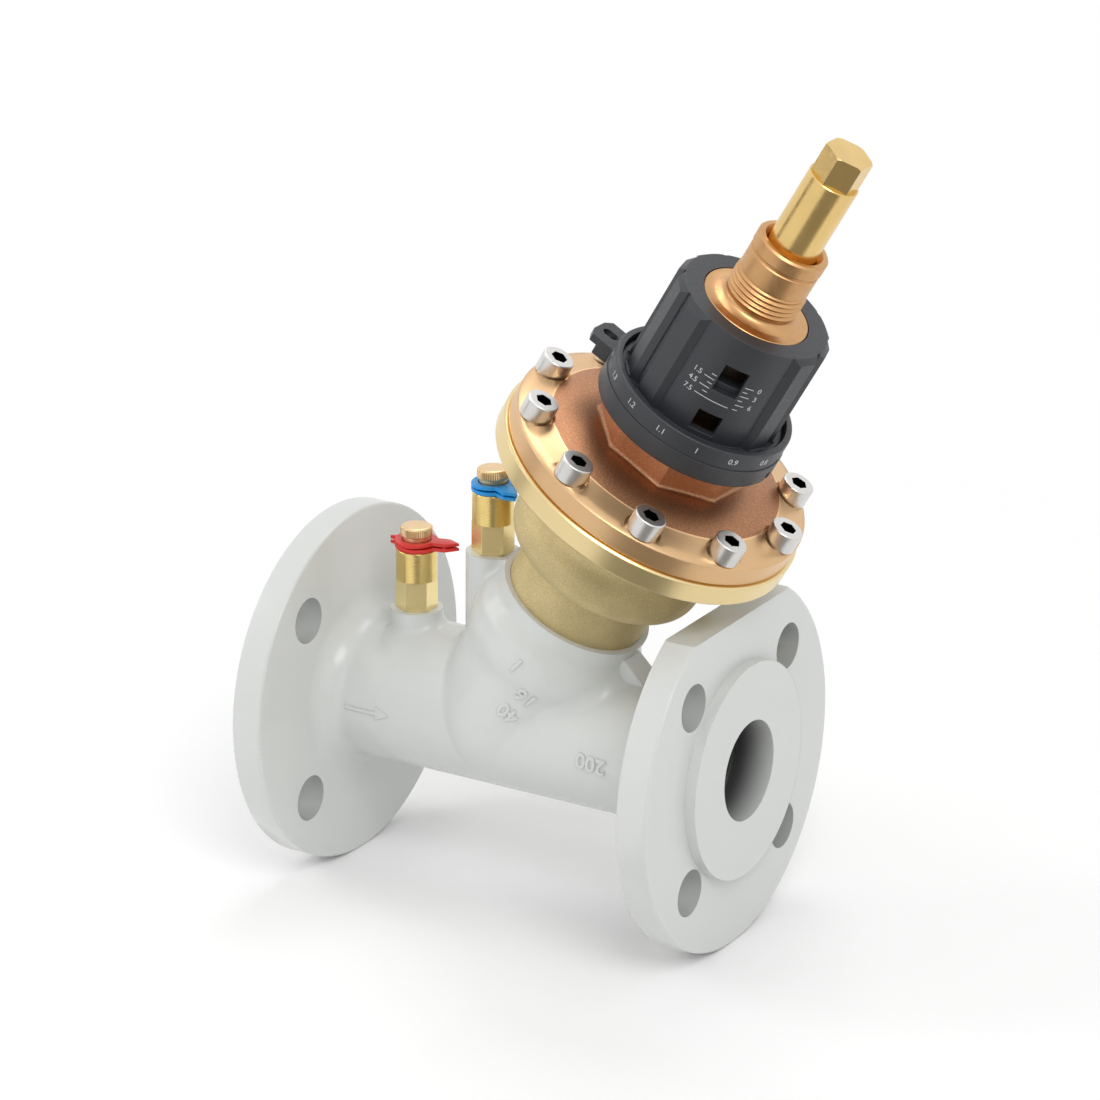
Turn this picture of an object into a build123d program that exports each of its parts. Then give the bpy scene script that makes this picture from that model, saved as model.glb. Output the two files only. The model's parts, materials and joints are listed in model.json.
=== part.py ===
from build123d import *
import math
import os

# Flanged balancing valve with a Y-pattern body, a diaphragm regulator, a setting handwheel and test points.
# Millimetres. The origin is the centre of the inlet's raised face, +X runs with the flow and +Z is up.
# Bonnet pieces are drawn upright about Z, with Z measured from the pipe's axis, and are then tilted together.

# Clearances
FIT = 0.05  # radial, between pieces that are pushed or screwed together
RUN = 0.06  # radial, between a shaft and the bearing that guides it
GAP = 0.3  # between pieces that move past each other

# Pipe run and flanges
FACE_TO_FACE = 200.0
FLANGE_R = 75.0
FLANGE_T = 13.5
FLANGE_EDGE = 1.2
RAISED_R = 44.5
RAISED_T = 4.5
BOLT_CIRCLE_R = 55.0
BOLT_HOLE_R = 9.5
BOLT_COUNT = 4
OUTLET_FLAT_Z = 64.0
TUBE_R = 29.0
NECK_ROUND = 11.0
BORE_R = 20.5
PASSAGE_R = 19.5

# Branch of the body
BRANCH_X = 88.0
TILT = 30.0
BARREL_R = 32.0
BALL_COVER = 1.66  # wall of the tube left under the ball's lowest point
BELLY_R = 35.5
BELLY_S = 45.0
BELLY_RISE = 4.86  # height of the belly's flare for each unit of its step
SHOULDER_S = 50.0
RIM_R = 32.0
RIM_S = 65.6
RIM_STRAIGHT = 5.0
BRANCH_BORE_R = 29.5
HOUSING_SEAT_S = 44.0
CHAMBER_R = 28.0
CAST_WALL = 7.0
PARTITION_T = 8.0
CAST_ROUND = 6.0
HUMP_R = 22.0
HUMP_Z = 10.8
CORNER_WEB_W = 14.0
CORNER_WEB = 9.2  # leg of the web that fills the corner between barrel and outlet
CORNER_WEB_EDGE = 1.5

# Bosses for the test points
BOSS_R = 11.0
RED_X = 45.0
RED_Z = 38.3
BLUE_X = 81.4
BLUE_Z = 69.6
RED_ROUND = 4.0
BLUE_ROUND = 3.0
TAPPING_R = 2.0
TAPPING_DEPTH = 22.0

# Seat ring, control plug and stem
SEAT_R = 18.0
SEAT_BORE_R = 14.5
SEAT_LIP_R = 22.5
SEAT_LIP_T = 3.0
STROKE = 10.0
PLUG_R = 17.8
PLUG_T = 6.0
PLUG_SEAL_R = 17.5
PLUG_BOSS_R = 13.0
PLUG_SEAL_T = 2.5
NOSE_R = 8.0
NOSE_LENGTH = 10.0
STEM_R = 6.0
STEM_SPIGOT_R = 4.0
STEM_SPIGOT = 5.0

# Diaphragm housing
HOUSING_NECK = 16.9
HOUSING_RISE = 57.8
HOUSING_FLANGE_R = 64.0
HOUSING_FLANGE_T = 9.0
FLANGE_BEVEL = 0.7
BOWL_EDGE_R = 33.9
BOWL_EDGE_RISE = 2.4
BOWL_R = 41.0
BOWL_RISE = 9.5
BOWL_STRAIGHT = 4.0
WAIST_R = 39.0
WAIST_RISE = 7.0
FLARE_R = 52.0
FLARE_RISE = 14.0
SPRING_ROOM_R = 33.0
SPRING_FLOOR_T = 7.5
ROLL_ROOM = 13.4
ROLL_ROOM_CONE = 11.0
SKIRT_R = 25.5
GUIDE_S = 56.0
HOUSING_SEAL_S = 54.0
SEAL_GROOVE = 2.6
SEAL_R = 1.5

# Regulator: sleeve, diaphragm, plate, nut and spring
SLEEVE_R = 22.0
SLEEVE_WALL = 2.0
REGULATOR_STROKE = 6.0
SLEEVE_HEAD_R = 31.0
SLEEVE_HEAD_T = 4.0
HEAD_DROP = 4.4  # from the flange joint down to the sleeve's head
BOSS_THREAD_R = 9.0
BOSS_THREAD = 8.0
DIAPHRAGM_T = 1.5
DIAPHRAGM_EDGE = 2.0  # from the diaphragm's bead to the screws' holes
BEAD_W = 5.0
BEAD_T = 2.4
ROLL_DROP = 5.0
PLATE_T = 2.5
PLATE_STEP = 1.0
NUT_T = 4.0
NUT_AF = 24.0
SPRING_R = 27.0
SPRING_WIRE_R = 1.6
SPRING_TURNS = 4

# Bonnet cover and its screws
COVER_STEP = 1.5  # from the housing's flange in to the cover's rim
COVER_EDGE_T = 8.9
CONE_R = 49.6
CONE_RISE = 2.9
DOME_R = 33.5
DOME_RISE = 3.6
DOME_CROWN = 0.45  # of the dome above its chord
COVER_BEVEL = 0.6
OCTAGON_ROUND = 1.8
OCTAGON_AF = 58.2
OCTAGON_RISE = 28.9  # from the flange joint to the octagon's top
COVER_ROOM_R = 42.0
COVER_ROOM = 7.2
SCREW_EDGE = 8.0  # from the flange's rim in to the screws
SCREW_COUNT = 10
SCREW_ANGLE = 5.6
SCREW_R = 4.0
SCREW_HEAD_R = 6.5
SCREW_HEAD_T = 8.0
SCREW_SOCKET_AF = 6.0
SCREW_SOCKET = 4.5
SCREW_SLACK = 0.5
SCREW_HEAD_EDGE = 0.7
POCKET_W = 15.0
POCKET_RISE = 0.6
BUSH_R = 11.0
BUSH_LENGTH = 13.0

# Rings of the dial
RING_T = 8.0
LOCK_RING_R = 38.4
LOCK_RING_BORE_R = 32.2
RING_EDGE = 0.8
TAB_REACH_R = 50.0
TAB_W = 16.0
TAB_TIP_W = 8.0
TAB_CORNER = 2.0
TAB_T = 3.2
TAB_EYE_W = 4.6
TAB_EYE_LENGTH = 7.0
TAB_EYE_EDGE = 2.5
HEEL_REACH_R = 44.7
HEEL_RISE = 1.0
NOTCH_W = 3.0
NOTCH_H = 4.0
NOTCH_DEPTH = 2.5
NOTCH_ANGLE = 3.5
SCALE_RING_R = 38.0
SCALE_RING_T = 7.7
SCALE_WALL = 2.6
SCALE_WEB = 2.2
SCALE_SPIGOT_R = 27.3
COVER_SPIGOT_R = 29.8
OCTAGON_STEP = 1.0

# Setting neck, gland and spindle
NECK_SPIGOT_R = 16.0
NECK_SPIGOT = 17.0
NECK_R = 20.0
DISC_R = 22.1
DISC_T = 5.1
NECK_TOP_RISE = 87.2  # from the flange joint to the disc's face
CONE_FOOT_R = 18.0
CONE_HEIGHT = 3.2
THREAD_R = 15.0
THREAD_LENGTH = 10.3
THREAD_DEPTH = 0.9
PLAIN_R = 14.4
PLAIN_LENGTH = 9.9
GLAND_R = 14.7
GLAND_T = 7.2
GLAND_GROOVE = 0.8
GLAND_SPIGOT_R = 12.4
GLAND_SPIGOT = 6.0
GLAND_FUNNEL_R = 12.2
GLAND_FUNNEL = 2.4
GLAND_RING_R = 0.95
SPINDLE_R = 10.2
SPINDLE_OUT = 31.6
SPINDLE_HEX_AF = 17.0
SPINDLE_HEX = 12.2
SPINDLE_SOCKET = 8.0
HEX_CROWN = 0.7
SHANK_EDGE = 0.35
STEM_SPACE = 1.2  # left under the spindle's foot when the valve is shut
SPINDLE_LENGTH_IN = 45.0
NECK_BORE_R = 7.0

# Handwheel and indicator
HUB_R = 30.0
HUB_WALL = 3.5
HUB_FOOT_R = 34.4
HUB_FOOT_T = 2.4
HUB_LIP_T = 8.0
RIB_R = 32.3
RIB_COUNT = 10
RIB_PITCH = 29.2
RIB_FOOT_W = 13.0
RIB_TOP_W = 8.5
RIB_BEVEL = 2.0
RIB_LIP = 0.9
RIB_LIP_H = 1.1
PANEL_ANGLE = -61.0
WINDOW_ANGLE = 19.4
WINDOW_UPPER_DROP = 11.9
WINDOW_UPPER_H = 12.2
WINDOW_LOWER_DROP = 33.9
WINDOW_LOWER_H = 9.0
INDICATOR_DROP = 21.7
INDICATOR_H = 10.0
KEY_W = 4.0
KEY_DEPTH = 1.2

# Test points
HEX_AF = 15.0
HEX_H = 12.6
TURNED_R = 8.5
TURNED_H = 13.0
TURNED_EDGE = 0.8
HEX_FOOT_EDGE = 0.8
NOZZLE_R = 5.8
NOZZLE_H = 2.8
POINT_SPIGOT_R = 6.0
POINT_SPIGOT = 9.0
POINT_BORE_R = 3.5
CAP_SEAL_T = 1.0
CAP_COLLAR_H = 1.6
CAP_R = 6.6
CAP_H = 4.2
CAP_STEM_R = 3.2
CAP_STEM = 7.0
CORE_LENGTH = 10.0
STRAP_T = 2.2
STRAP_RING_R = 9.0
STRAP_REACH = 18.5
STRAP_TIP = 4.5
STRAP_W = 7.0
STRAP_BEAK = 11.4
STRAP_BEAK_W = 5.0
RED_STRAP_TURN = 0.0
BLUE_STRAP_TURN = -45.0
CAP_EDGE = 0.6

# Sizes that follow from the ones above
BORE_DEPTH = RAISED_T + FLANGE_T
BALL_S = (BARREL_R - TUBE_R + BALL_COVER) / math.cos(math.radians(TILT))
BELLY_FOOT_S = BELLY_S - BELLY_RISE * abs(BELLY_R - BARREL_R)
COVER_R = HOUSING_FLANGE_R - COVER_STEP
SCREW_CIRCLE_R = HOUSING_FLANGE_R - SCREW_EDGE
DIAPHRAGM_R = SCREW_CIRCLE_R - SCREW_R - DIAPHRAGM_EDGE
ROLL_ROOM_R = DIAPHRAGM_R - BEAD_W

# Stations along the bonnet's axis, from the pipe's axis upwards
NECK_END_S = RIM_S + HOUSING_NECK
FLANGE_S = RIM_S + HOUSING_RISE
JOINT_S = FLANGE_S + HOUSING_FLANGE_T
COVER_EDGE_S = JOINT_S + COVER_EDGE_T
CONE_S = COVER_EDGE_S + CONE_RISE
DOME_S = CONE_S + DOME_RISE
OCTAGON_S = JOINT_S + OCTAGON_RISE
SPLIT_S = OCTAGON_S + RING_T
WEB_S = SPLIT_S + SCALE_WEB
DISC_S = JOINT_S + NECK_TOP_RISE
DISC_UNDER_S = DISC_S - DISC_T
THREAD_S = DISC_S + CONE_HEIGHT
PLAIN_S = THREAD_S + THREAD_LENGTH
GLAND_S = PLAIN_S + PLAIN_LENGTH
GLAND_TOP_S = GLAND_S + GLAND_T
HEX_S = GLAND_TOP_S + SPINDLE_OUT
SPINDLE_FOOT_S = GLAND_TOP_S - SPINDLE_LENGTH_IN
SEAT_TOP_S = PARTITION_T / 2 + SEAT_LIP_T
PLUG_SEAL_S = SEAT_TOP_S + GAP + STROKE
PLUG_S = PLUG_SEAL_S + PLUG_SEAL_T
STEM_S = PLUG_S + PLUG_T
SLEEVE_FOOT_S = SEAT_TOP_S + GAP + REGULATOR_STROKE
HEAD_S = JOINT_S - HEAD_DROP
PLATE_S = HEAD_S + DIAPHRAGM_T
POCKET_S = COVER_EDGE_S + POCKET_RISE
ROOM_S = JOINT_S + COVER_ROOM
FLOOR_S = NECK_END_S + SPRING_FLOOR_T
NECK_FOOT_S = WEB_S - NECK_SPIGOT
BORE_FOOT_S = SPINDLE_FOOT_S - STROKE - STEM_SPACE

BONNET = Location((BRANCH_X, 0, 0), (0, TILT, 0))
ALONG_X = Rot(0, 90, 0)
UP = (Align.CENTER, Align.CENTER, Align.MIN)
DOWN = (Align.CENTER, Align.CENTER, Align.MAX)
OUTWARD = (Align.MIN, Align.CENTER, Align.MIN)


def turned(points, rounds=()):
    """Solid of revolution about Z from (radius, height) points; rounds gives (point index, radius) pairs."""
    profile = make_face(Polyline(*points, close=True))
    for index, radius in rounds:
        corner = profile.vertices().sort_by_distance((*points[index], 0))[0]
        profile = fillet(corner, radius)
    return revolve(Plane.XZ * profile, Axis.Z)


def disc(radius, low, high):
    """Upright cylinder between two heights."""
    return Pos(0, 0, low) * Cylinder(radius, high - low, align=UP)


def ring(outer, inner, low, high):
    """Upright plain ring between two heights."""
    return turned([(inner, low), (outer, low), (outer, high), (inner, high)])


def prism(across_flats, sides, low, high):
    """Upright regular prism with flats square to the X axis."""
    corner_r = across_flats / 2 / math.cos(math.pi / sides)
    outline = RegularPolygon(corner_r, sides, rotation=180 / sides)
    return Pos(0, 0, low) * extrude(outline, high - low)


def o_ring(centre_r, section_r, height):
    return Pos(0, 0, height) * Torus(centre_r, section_r)


def hub_box(angle, width, inner_r, outer_r, low, high):
    """Block that points out from the bonnet's axis at an angle, between two radii and two heights."""
    block = Box(outer_r - inner_r, width, high - low, align=OUTWARD)
    return Rot(0, 0, angle) * Pos(inner_r, 0, low) * block


def corner_web():
    """Cast web across the corner where the leaning barrel meets the top of the outlet tube."""
    lean = math.radians(TILT)
    corner_s = (TUBE_R + BELLY_R * math.sin(lean)) / math.cos(lean)
    corner_x = BRANCH_X + corner_s * math.sin(lean) + BELLY_R * math.cos(lean)
    inside_x = corner_x - BELLY_R / 2
    foot = (corner_x + CORNER_WEB, TUBE_R)
    outline = Polyline(foot, (corner_x, TUBE_R + CORNER_WEB), (inside_x, TUBE_R + CORNER_WEB),
                       (inside_x, TUBE_R / 2), (foot[0], TUBE_R / 2), close=True)
    web = extrude(Plane.XZ * make_face(outline), CORNER_WEB_W / 2, both=True)
    slope = web.faces().sort_by(Axis((0, 0, 0), (1, 0, 1)))[-1]
    sides = slope.edges().sort_by(Axis.Y)
    return fillet([sides[0], sides[-1]], CORNER_WEB_EDGE)


def body_outside():
    """Tube with two flanges, a hump by the red boss, the leaning barrel and the bosses, in one casting."""
    back = RAISED_T + FLANGE_T
    far = FACE_TO_FACE
    run = ALONG_X * turned(
        [(0, 0), (RAISED_R, 0), (RAISED_R, RAISED_T), (FLANGE_R, RAISED_T), (FLANGE_R, back), (TUBE_R, back),
         (TUBE_R, far - back), (FLANGE_R, far - back), (FLANGE_R, far - RAISED_T), (RAISED_R, far - RAISED_T),
         (RAISED_R, far), (0, far)],
        [(3, FLANGE_EDGE), (4, FLANGE_EDGE), (5, NECK_ROUND), (6, NECK_ROUND), (7, FLANGE_EDGE),
         (8, FLANGE_EDGE)],
    )
    bottom = BALL_S - BARREL_R
    diagonal = BARREL_R * math.sqrt(0.5)
    outline = [
        ThreePointArc((0, bottom), (diagonal, BALL_S - diagonal), (BARREL_R, BALL_S)),
        Line((BARREL_R, BALL_S), (BARREL_R, BELLY_FOOT_S)),
        Spline((BARREL_R, BELLY_FOOT_S), (BELLY_R, BELLY_S), tangents=[(0, 1), (0, 1)]),
        Line((BELLY_R, BELLY_S), (BELLY_R, SHOULDER_S)),
        Spline((BELLY_R, SHOULDER_S), (RIM_R, RIM_S - RIM_STRAIGHT), tangents=[(0, 1), (0, 1)]),
        Polyline((RIM_R, RIM_S - RIM_STRAIGHT), (RIM_R, RIM_S), (0, RIM_S), (0, bottom)),
    ]
    barrel = BONNET * revolve(Plane.XZ * make_face(outline), Axis.Z)
    hump = Pos(RED_X, 0, HUMP_Z) * (ALONG_X * disc(HUMP_R, 0, BRANCH_X - RED_X) + Sphere(HUMP_R))
    run += hump
    casting = run + barrel
    casting = fillet(new_edges(run, barrel, combined=casting), CAST_ROUND)
    casting += corner_web()
    red_boss = Pos(RED_X, 0, 0) * Cylinder(BOSS_R, RED_Z, align=UP)
    with_red = casting + red_boss
    with_red = fillet(new_edges(casting, red_boss, combined=with_red), RED_ROUND)
    blue_boss = Pos(BLUE_X, 0, 0) * Cylinder(BOSS_R, BLUE_Z, align=UP)
    with_blue = with_red + blue_boss
    with_blue = fillet(new_edges(with_red, blue_boss, combined=with_blue), BLUE_ROUND)
    flat = Pos(far, 0, OUTLET_FLAT_Z) * Box(2 * back, 2 * FLANGE_R, FLANGE_R, align=UP)
    return with_blue - flat


def body_passages():
    """Flow space: inlet below the sloping partition, seat opening, chamber above it and outlet."""
    half = PARTITION_T / 2
    reach = 2 * FACE_TO_FACE
    above = BONNET * Pos(0, 0, half) * Box(reach, reach, reach, align=UP)
    below = BONNET * Pos(0, 0, -half) * Box(reach, reach, reach, align=DOWN)
    inlet = ALONG_X * disc(PASSAGE_R, 0, BRANCH_X) & below
    pocket = BONNET * Pos(0, 0, BALL_S) * Sphere(BARREL_R - CAST_WALL) & below
    outlet = ALONG_X * disc(PASSAGE_R, BRANCH_X, FACE_TO_FACE) & above
    ends = [ALONG_X * disc(BORE_R, low, low + BORE_DEPTH) for low in (0, FACE_TO_FACE - BORE_DEPTH)]
    seat_hole = BONNET * disc(SEAT_R + FIT, -PARTITION_T, PARTITION_T)
    chamber = BONNET * disc(CHAMBER_R, half, HOUSING_SEAT_S)
    mouth = BONNET * disc(BRANCH_BORE_R, HOUSING_SEAT_S, RIM_S)
    return [inlet, pocket, outlet, *ends, seat_hole, chamber, mouth]


def valve_body():
    body = body_outside()
    for space in body_passages():
        body -= space
    for face_x in (RAISED_T, FACE_TO_FACE - RAISED_T - FLANGE_T):
        for place in PolarLocations(BOLT_CIRCLE_R, BOLT_COUNT, 180 / BOLT_COUNT):
            body -= ALONG_X * place * disc(BOLT_HOLE_R, face_x, face_x + FLANGE_T)
    for x, top in ((RED_X, RED_Z), (BLUE_X, BLUE_Z)):
        foot = top - POINT_SPIGOT
        body -= Pos(x, 0, 0) * disc(POINT_SPIGOT_R + FIT, foot, top)
        body -= Pos(x, 0, 0) * disc(TAPPING_R, foot - TAPPING_DEPTH, foot)
    return body


def seat_ring():
    half = PARTITION_T / 2
    return turned([(SEAT_BORE_R, -half), (SEAT_R, -half), (SEAT_R, half), (SEAT_LIP_R, half),
                   (SEAT_LIP_R, SEAT_TOP_S), (SEAT_BORE_R, SEAT_TOP_S)])


def lower_housing():
    """Brass bowl: spigot in the branch, rounded spring room and the flange that clamps the diaphragm."""
    neck_r = BRANCH_BORE_R - FIT
    guide_r = SLEEVE_R + RUN
    edge_s = NECK_END_S + BOWL_EDGE_RISE
    bowl_s = edge_s + BOWL_RISE
    waist_s = bowl_s + BOWL_STRAIGHT + WAIST_RISE
    flare_s = waist_s + FLARE_RISE
    recess_s = JOINT_S - BEAD_T
    room_s = recess_s - ROLL_ROOM
    outline = [
        Polyline((SKIRT_R, HOUSING_SEAT_S), (neck_r, HOUSING_SEAT_S), (neck_r, NECK_END_S),
                 (BOWL_EDGE_R, edge_s)),
        Spline((BOWL_EDGE_R, edge_s), (BOWL_R, bowl_s), tangents=[(1, 0.6), (0, 1)]),
        Line((BOWL_R, bowl_s), (BOWL_R, bowl_s + BOWL_STRAIGHT)),
        Spline((BOWL_R, bowl_s + BOWL_STRAIGHT), (WAIST_R, waist_s), tangents=[(0, 1), (0, 1)]),
        Spline((WAIST_R, waist_s), (FLARE_R, flare_s), tangents=[(0, 1), (0, 1)]),
        Polyline((FLARE_R, flare_s), (FLARE_R, FLANGE_S), (HOUSING_FLANGE_R - FLANGE_BEVEL, FLANGE_S),
                 (HOUSING_FLANGE_R, FLANGE_S + FLANGE_BEVEL), (HOUSING_FLANGE_R, JOINT_S - FLANGE_BEVEL),
                 (HOUSING_FLANGE_R - FLANGE_BEVEL, JOINT_S), (DIAPHRAGM_R + FIT, JOINT_S),
                 (DIAPHRAGM_R + FIT, recess_s), (ROLL_ROOM_R, recess_s),
                 (ROLL_ROOM_R, room_s), (SPRING_ROOM_R, room_s - ROLL_ROOM_CONE), (SPRING_ROOM_R, FLOOR_S),
                 (guide_r, FLOOR_S), (guide_r, GUIDE_S), (SKIRT_R, GUIDE_S), (SKIRT_R, HOUSING_SEAT_S)),
    ]
    housing = revolve(Plane.XZ * make_face(outline), Axis.Z)
    for place in screw_places():
        housing -= place * disc(SCREW_R + FIT, FLANGE_S, JOINT_S)
    housing -= ring(neck_r + FIT, neck_r - SEAL_GROOVE, HOUSING_SEAL_S - SEAL_R, HOUSING_SEAL_S + SEAL_R)
    return housing


def housing_seal():
    return o_ring(BRANCH_BORE_R - SEAL_GROOVE / 2 - FIT, SEAL_GROOVE / 2 - FIT, HOUSING_SEAL_S)


def screw_places():
    return PolarLocations(SCREW_CIRCLE_R, SCREW_COUNT, SCREW_ANGLE)


def regulator_sleeve():
    inner_r = SLEEVE_R - SLEEVE_WALL
    under_s = HEAD_S - SLEEVE_HEAD_T
    stem_hole_r = STEM_R + GAP
    return turned([(inner_r, SLEEVE_FOOT_S), (SLEEVE_R, SLEEVE_FOOT_S), (SLEEVE_R, under_s),
                   (SLEEVE_HEAD_R, under_s), (SLEEVE_HEAD_R, HEAD_S), (BOSS_THREAD_R, HEAD_S),
                   (BOSS_THREAD_R, HEAD_S + BOSS_THREAD), (stem_hole_r, HEAD_S + BOSS_THREAD),
                   (stem_hole_r, under_s), (inner_r, under_s)])


def diaphragm():
    """Rubber disc with a rolled fold and a thick bead that the flanges clamp."""
    inner_r = BOSS_THREAD_R + FIT
    bead_r = ROLL_ROOM_R - GAP
    low_s = JOINT_S - BEAD_T
    roll_r = (SLEEVE_HEAD_R + bead_r) / 2
    skin_s = low_s + DIAPHRAGM_T
    outline = [
        Polyline((bead_r, low_s), (DIAPHRAGM_R, low_s), (DIAPHRAGM_R, JOINT_S), (bead_r, JOINT_S),
                 (bead_r, skin_s)),
        ThreePointArc((bead_r, skin_s), (roll_r, HEAD_S - ROLL_DROP + DIAPHRAGM_T), (SLEEVE_HEAD_R, PLATE_S)),
        Polyline((SLEEVE_HEAD_R, PLATE_S), (inner_r, PLATE_S), (inner_r, HEAD_S), (SLEEVE_HEAD_R, HEAD_S)),
        ThreePointArc((SLEEVE_HEAD_R, HEAD_S), (roll_r, HEAD_S - ROLL_DROP), (bead_r, low_s)),
    ]
    return revolve(Plane.XZ * make_face(outline), Axis.Z)


def diaphragm_plate():
    return ring(SLEEVE_HEAD_R - PLATE_STEP, BOSS_THREAD_R + FIT, PLATE_S, PLATE_S + PLATE_T)


def plate_nut():
    low = PLATE_S + PLATE_T
    return prism(NUT_AF, 6, low, low + NUT_T) - disc(BOSS_THREAD_R + FIT, low, low + NUT_T)


def regulator_spring():
    """Open coil between the housing's floor and the sleeve's head."""
    low = FLOOR_S + SPRING_WIRE_R + FIT
    high = HEAD_S - SLEEVE_HEAD_T - SPRING_WIRE_R - FIT
    path = Helix((high - low) / SPRING_TURNS, high - low, SPRING_R)
    section = Plane(origin=path @ 0, z_dir=path % 0) * Circle(SPRING_WIRE_R)
    return Pos(0, 0, low) * sweep(section, path, is_frenet=True)


def bonnet_cover():
    """Bronze cover: machined rim with a pocket at each screw, cast dome, octagon and the dial's spigot."""
    middle_r = (CONE_R + DOME_R) / 2
    middle_s = CONE_S + DOME_RISE / 2 + DOME_CROWN
    outline = [
        Polyline((0, JOINT_S), (COVER_R - COVER_BEVEL, JOINT_S), (COVER_R, JOINT_S + COVER_BEVEL),
                 (COVER_R, COVER_EDGE_S - COVER_BEVEL), (COVER_R - COVER_BEVEL, COVER_EDGE_S),
                 (CONE_R, CONE_S)),
        ThreePointArc((CONE_R, CONE_S), (middle_r, middle_s), (DOME_R, DOME_S)),
        Polyline((DOME_R, DOME_S), (0, DOME_S), (0, JOINT_S)),
    ]
    dome = revolve(Plane.XZ * make_face(outline), Axis.Z)
    octagon = prism(OCTAGON_AF, 8, CONE_S, OCTAGON_S)
    cover = dome + octagon
    cover = fillet(new_edges(dome, octagon, combined=cover), OCTAGON_ROUND)
    cover += disc(COVER_SPIGOT_R - OCTAGON_STEP, OCTAGON_S, SPLIT_S)
    cover += disc(SCALE_SPIGOT_R - FIT, SPLIT_S, WEB_S)
    cover -= disc(COVER_ROOM_R, JOINT_S, ROOM_S)
    cover -= disc(BUSH_R + FIT, ROOM_S, ROOM_S + BUSH_LENGTH)
    cover -= disc(NECK_BORE_R, ROOM_S, NECK_FOOT_S)
    cover -= disc(NECK_SPIGOT_R + FIT, NECK_FOOT_S, WEB_S)
    for place in screw_places():
        way_out = Pos(0, 0, POCKET_S) * Box(POCKET_W, POCKET_W, DOME_S - POCKET_S, align=OUTWARD)
        cover -= place * (disc(POCKET_W / 2, POCKET_S, DOME_S) + way_out)
        cover -= place * disc(SCREW_R + SCREW_SLACK, JOINT_S, POCKET_S)
    return cover


def cover_screw():
    """Socket-head screw, upright, with the underside of its head at the pocket's floor."""
    low = FLANGE_S + SCREW_R / 2
    top = POCKET_S + SCREW_HEAD_T
    screw = turned([(0, low), (SCREW_R, low), (SCREW_R, POCKET_S), (SCREW_HEAD_R, POCKET_S),
                    (SCREW_HEAD_R, top), (0, top)], [(4, SCREW_HEAD_EDGE)])
    return screw - prism(SCREW_SOCKET_AF, 6, top - SCREW_SOCKET, top)


def cover_screws():
    return Compound([place * cover_screw() for place in screw_places()])


def stem_bush():
    return ring(BUSH_R, STEM_R + RUN, ROOM_S, ROOM_S + BUSH_LENGTH)


def lock_ring():
    """Plain lower ring with a notch at the front, and a heel and a tab for a sealing wire at the back."""
    band = turned([(LOCK_RING_BORE_R, OCTAGON_S), (LOCK_RING_R, OCTAGON_S), (LOCK_RING_R, SPLIT_S),
                   (LOCK_RING_BORE_R, SPLIT_S)], [(1, RING_EDGE)])
    root_x = -(LOCK_RING_BORE_R + LOCK_RING_R) / 2
    corner_x = TAB_CORNER - TAB_REACH_R
    under_s = SPLIT_S - TAB_T
    half, tip = TAB_W / 2, TAB_TIP_W / 2
    tab = make_face(Polyline((root_x, half), (corner_x, half), (-TAB_REACH_R, tip), (-TAB_REACH_R, -tip),
                             (corner_x, -half), (root_x, -half), close=True))
    eye_x = TAB_EYE_EDGE + TAB_EYE_LENGTH / 2 - TAB_REACH_R
    tab -= Pos(eye_x, 0) * SlotOverall(TAB_EYE_LENGTH, TAB_EYE_W)
    band += Pos(0, 0, under_s) * extrude(tab, TAB_T)
    band += hub_box(180, TAB_W, -root_x, HEEL_REACH_R, OCTAGON_S + HEEL_RISE, under_s)
    notch = Pos(LOCK_RING_R, 0, OCTAGON_S) * Box(2 * NOTCH_DEPTH, NOTCH_W, 2 * NOTCH_H)
    return band - Rot(0, 0, NOTCH_ANGLE) * notch


def scale_ring():
    top = SPLIT_S + SCALE_RING_T
    wall_r = SCALE_RING_R - SCALE_WALL
    return turned([(SCALE_SPIGOT_R, SPLIT_S), (SCALE_RING_R, SPLIT_S), (SCALE_RING_R, top), (wall_r, top),
                   (wall_r, WEB_S), (SCALE_SPIGOT_R, WEB_S)], [(2, RING_EDGE)])


def setting_neck():
    """Turned bronze neck: spigot in the cover, disc over the handwheel, actuator thread and gland seat."""
    root_r = THREAD_R - THREAD_DEPTH
    seal_room_s = GLAND_S - GLAND_SPIGOT - 2 * GLAND_RING_R - FIT
    bore_r = SPINDLE_R + RUN
    outline = [
        Polyline((NECK_BORE_R, NECK_FOOT_S), (NECK_SPIGOT_R, NECK_FOOT_S), (NECK_SPIGOT_R, WEB_S),
                 (NECK_R, WEB_S), (NECK_R, DISC_UNDER_S), (DISC_R, DISC_UNDER_S), (DISC_R, DISC_S),
                 (CONE_FOOT_R, DISC_S)),
        Spline((CONE_FOOT_R, DISC_S), (root_r, THREAD_S), tangents=[(-1, 0.3), (0, 1)]),
        Polyline((root_r, THREAD_S), (THREAD_R, THREAD_S), (THREAD_R, PLAIN_S), (PLAIN_R, PLAIN_S),
                 (PLAIN_R, GLAND_S), (GLAND_SPIGOT_R, GLAND_S), (GLAND_SPIGOT_R, seal_room_s),
                 (bore_r, seal_room_s), (bore_r, BORE_FOOT_S), (NECK_BORE_R, BORE_FOOT_S),
                 (NECK_BORE_R, NECK_FOOT_S)),
    ]
    return revolve(Plane.XZ * make_face(outline), Axis.Z)


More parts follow.
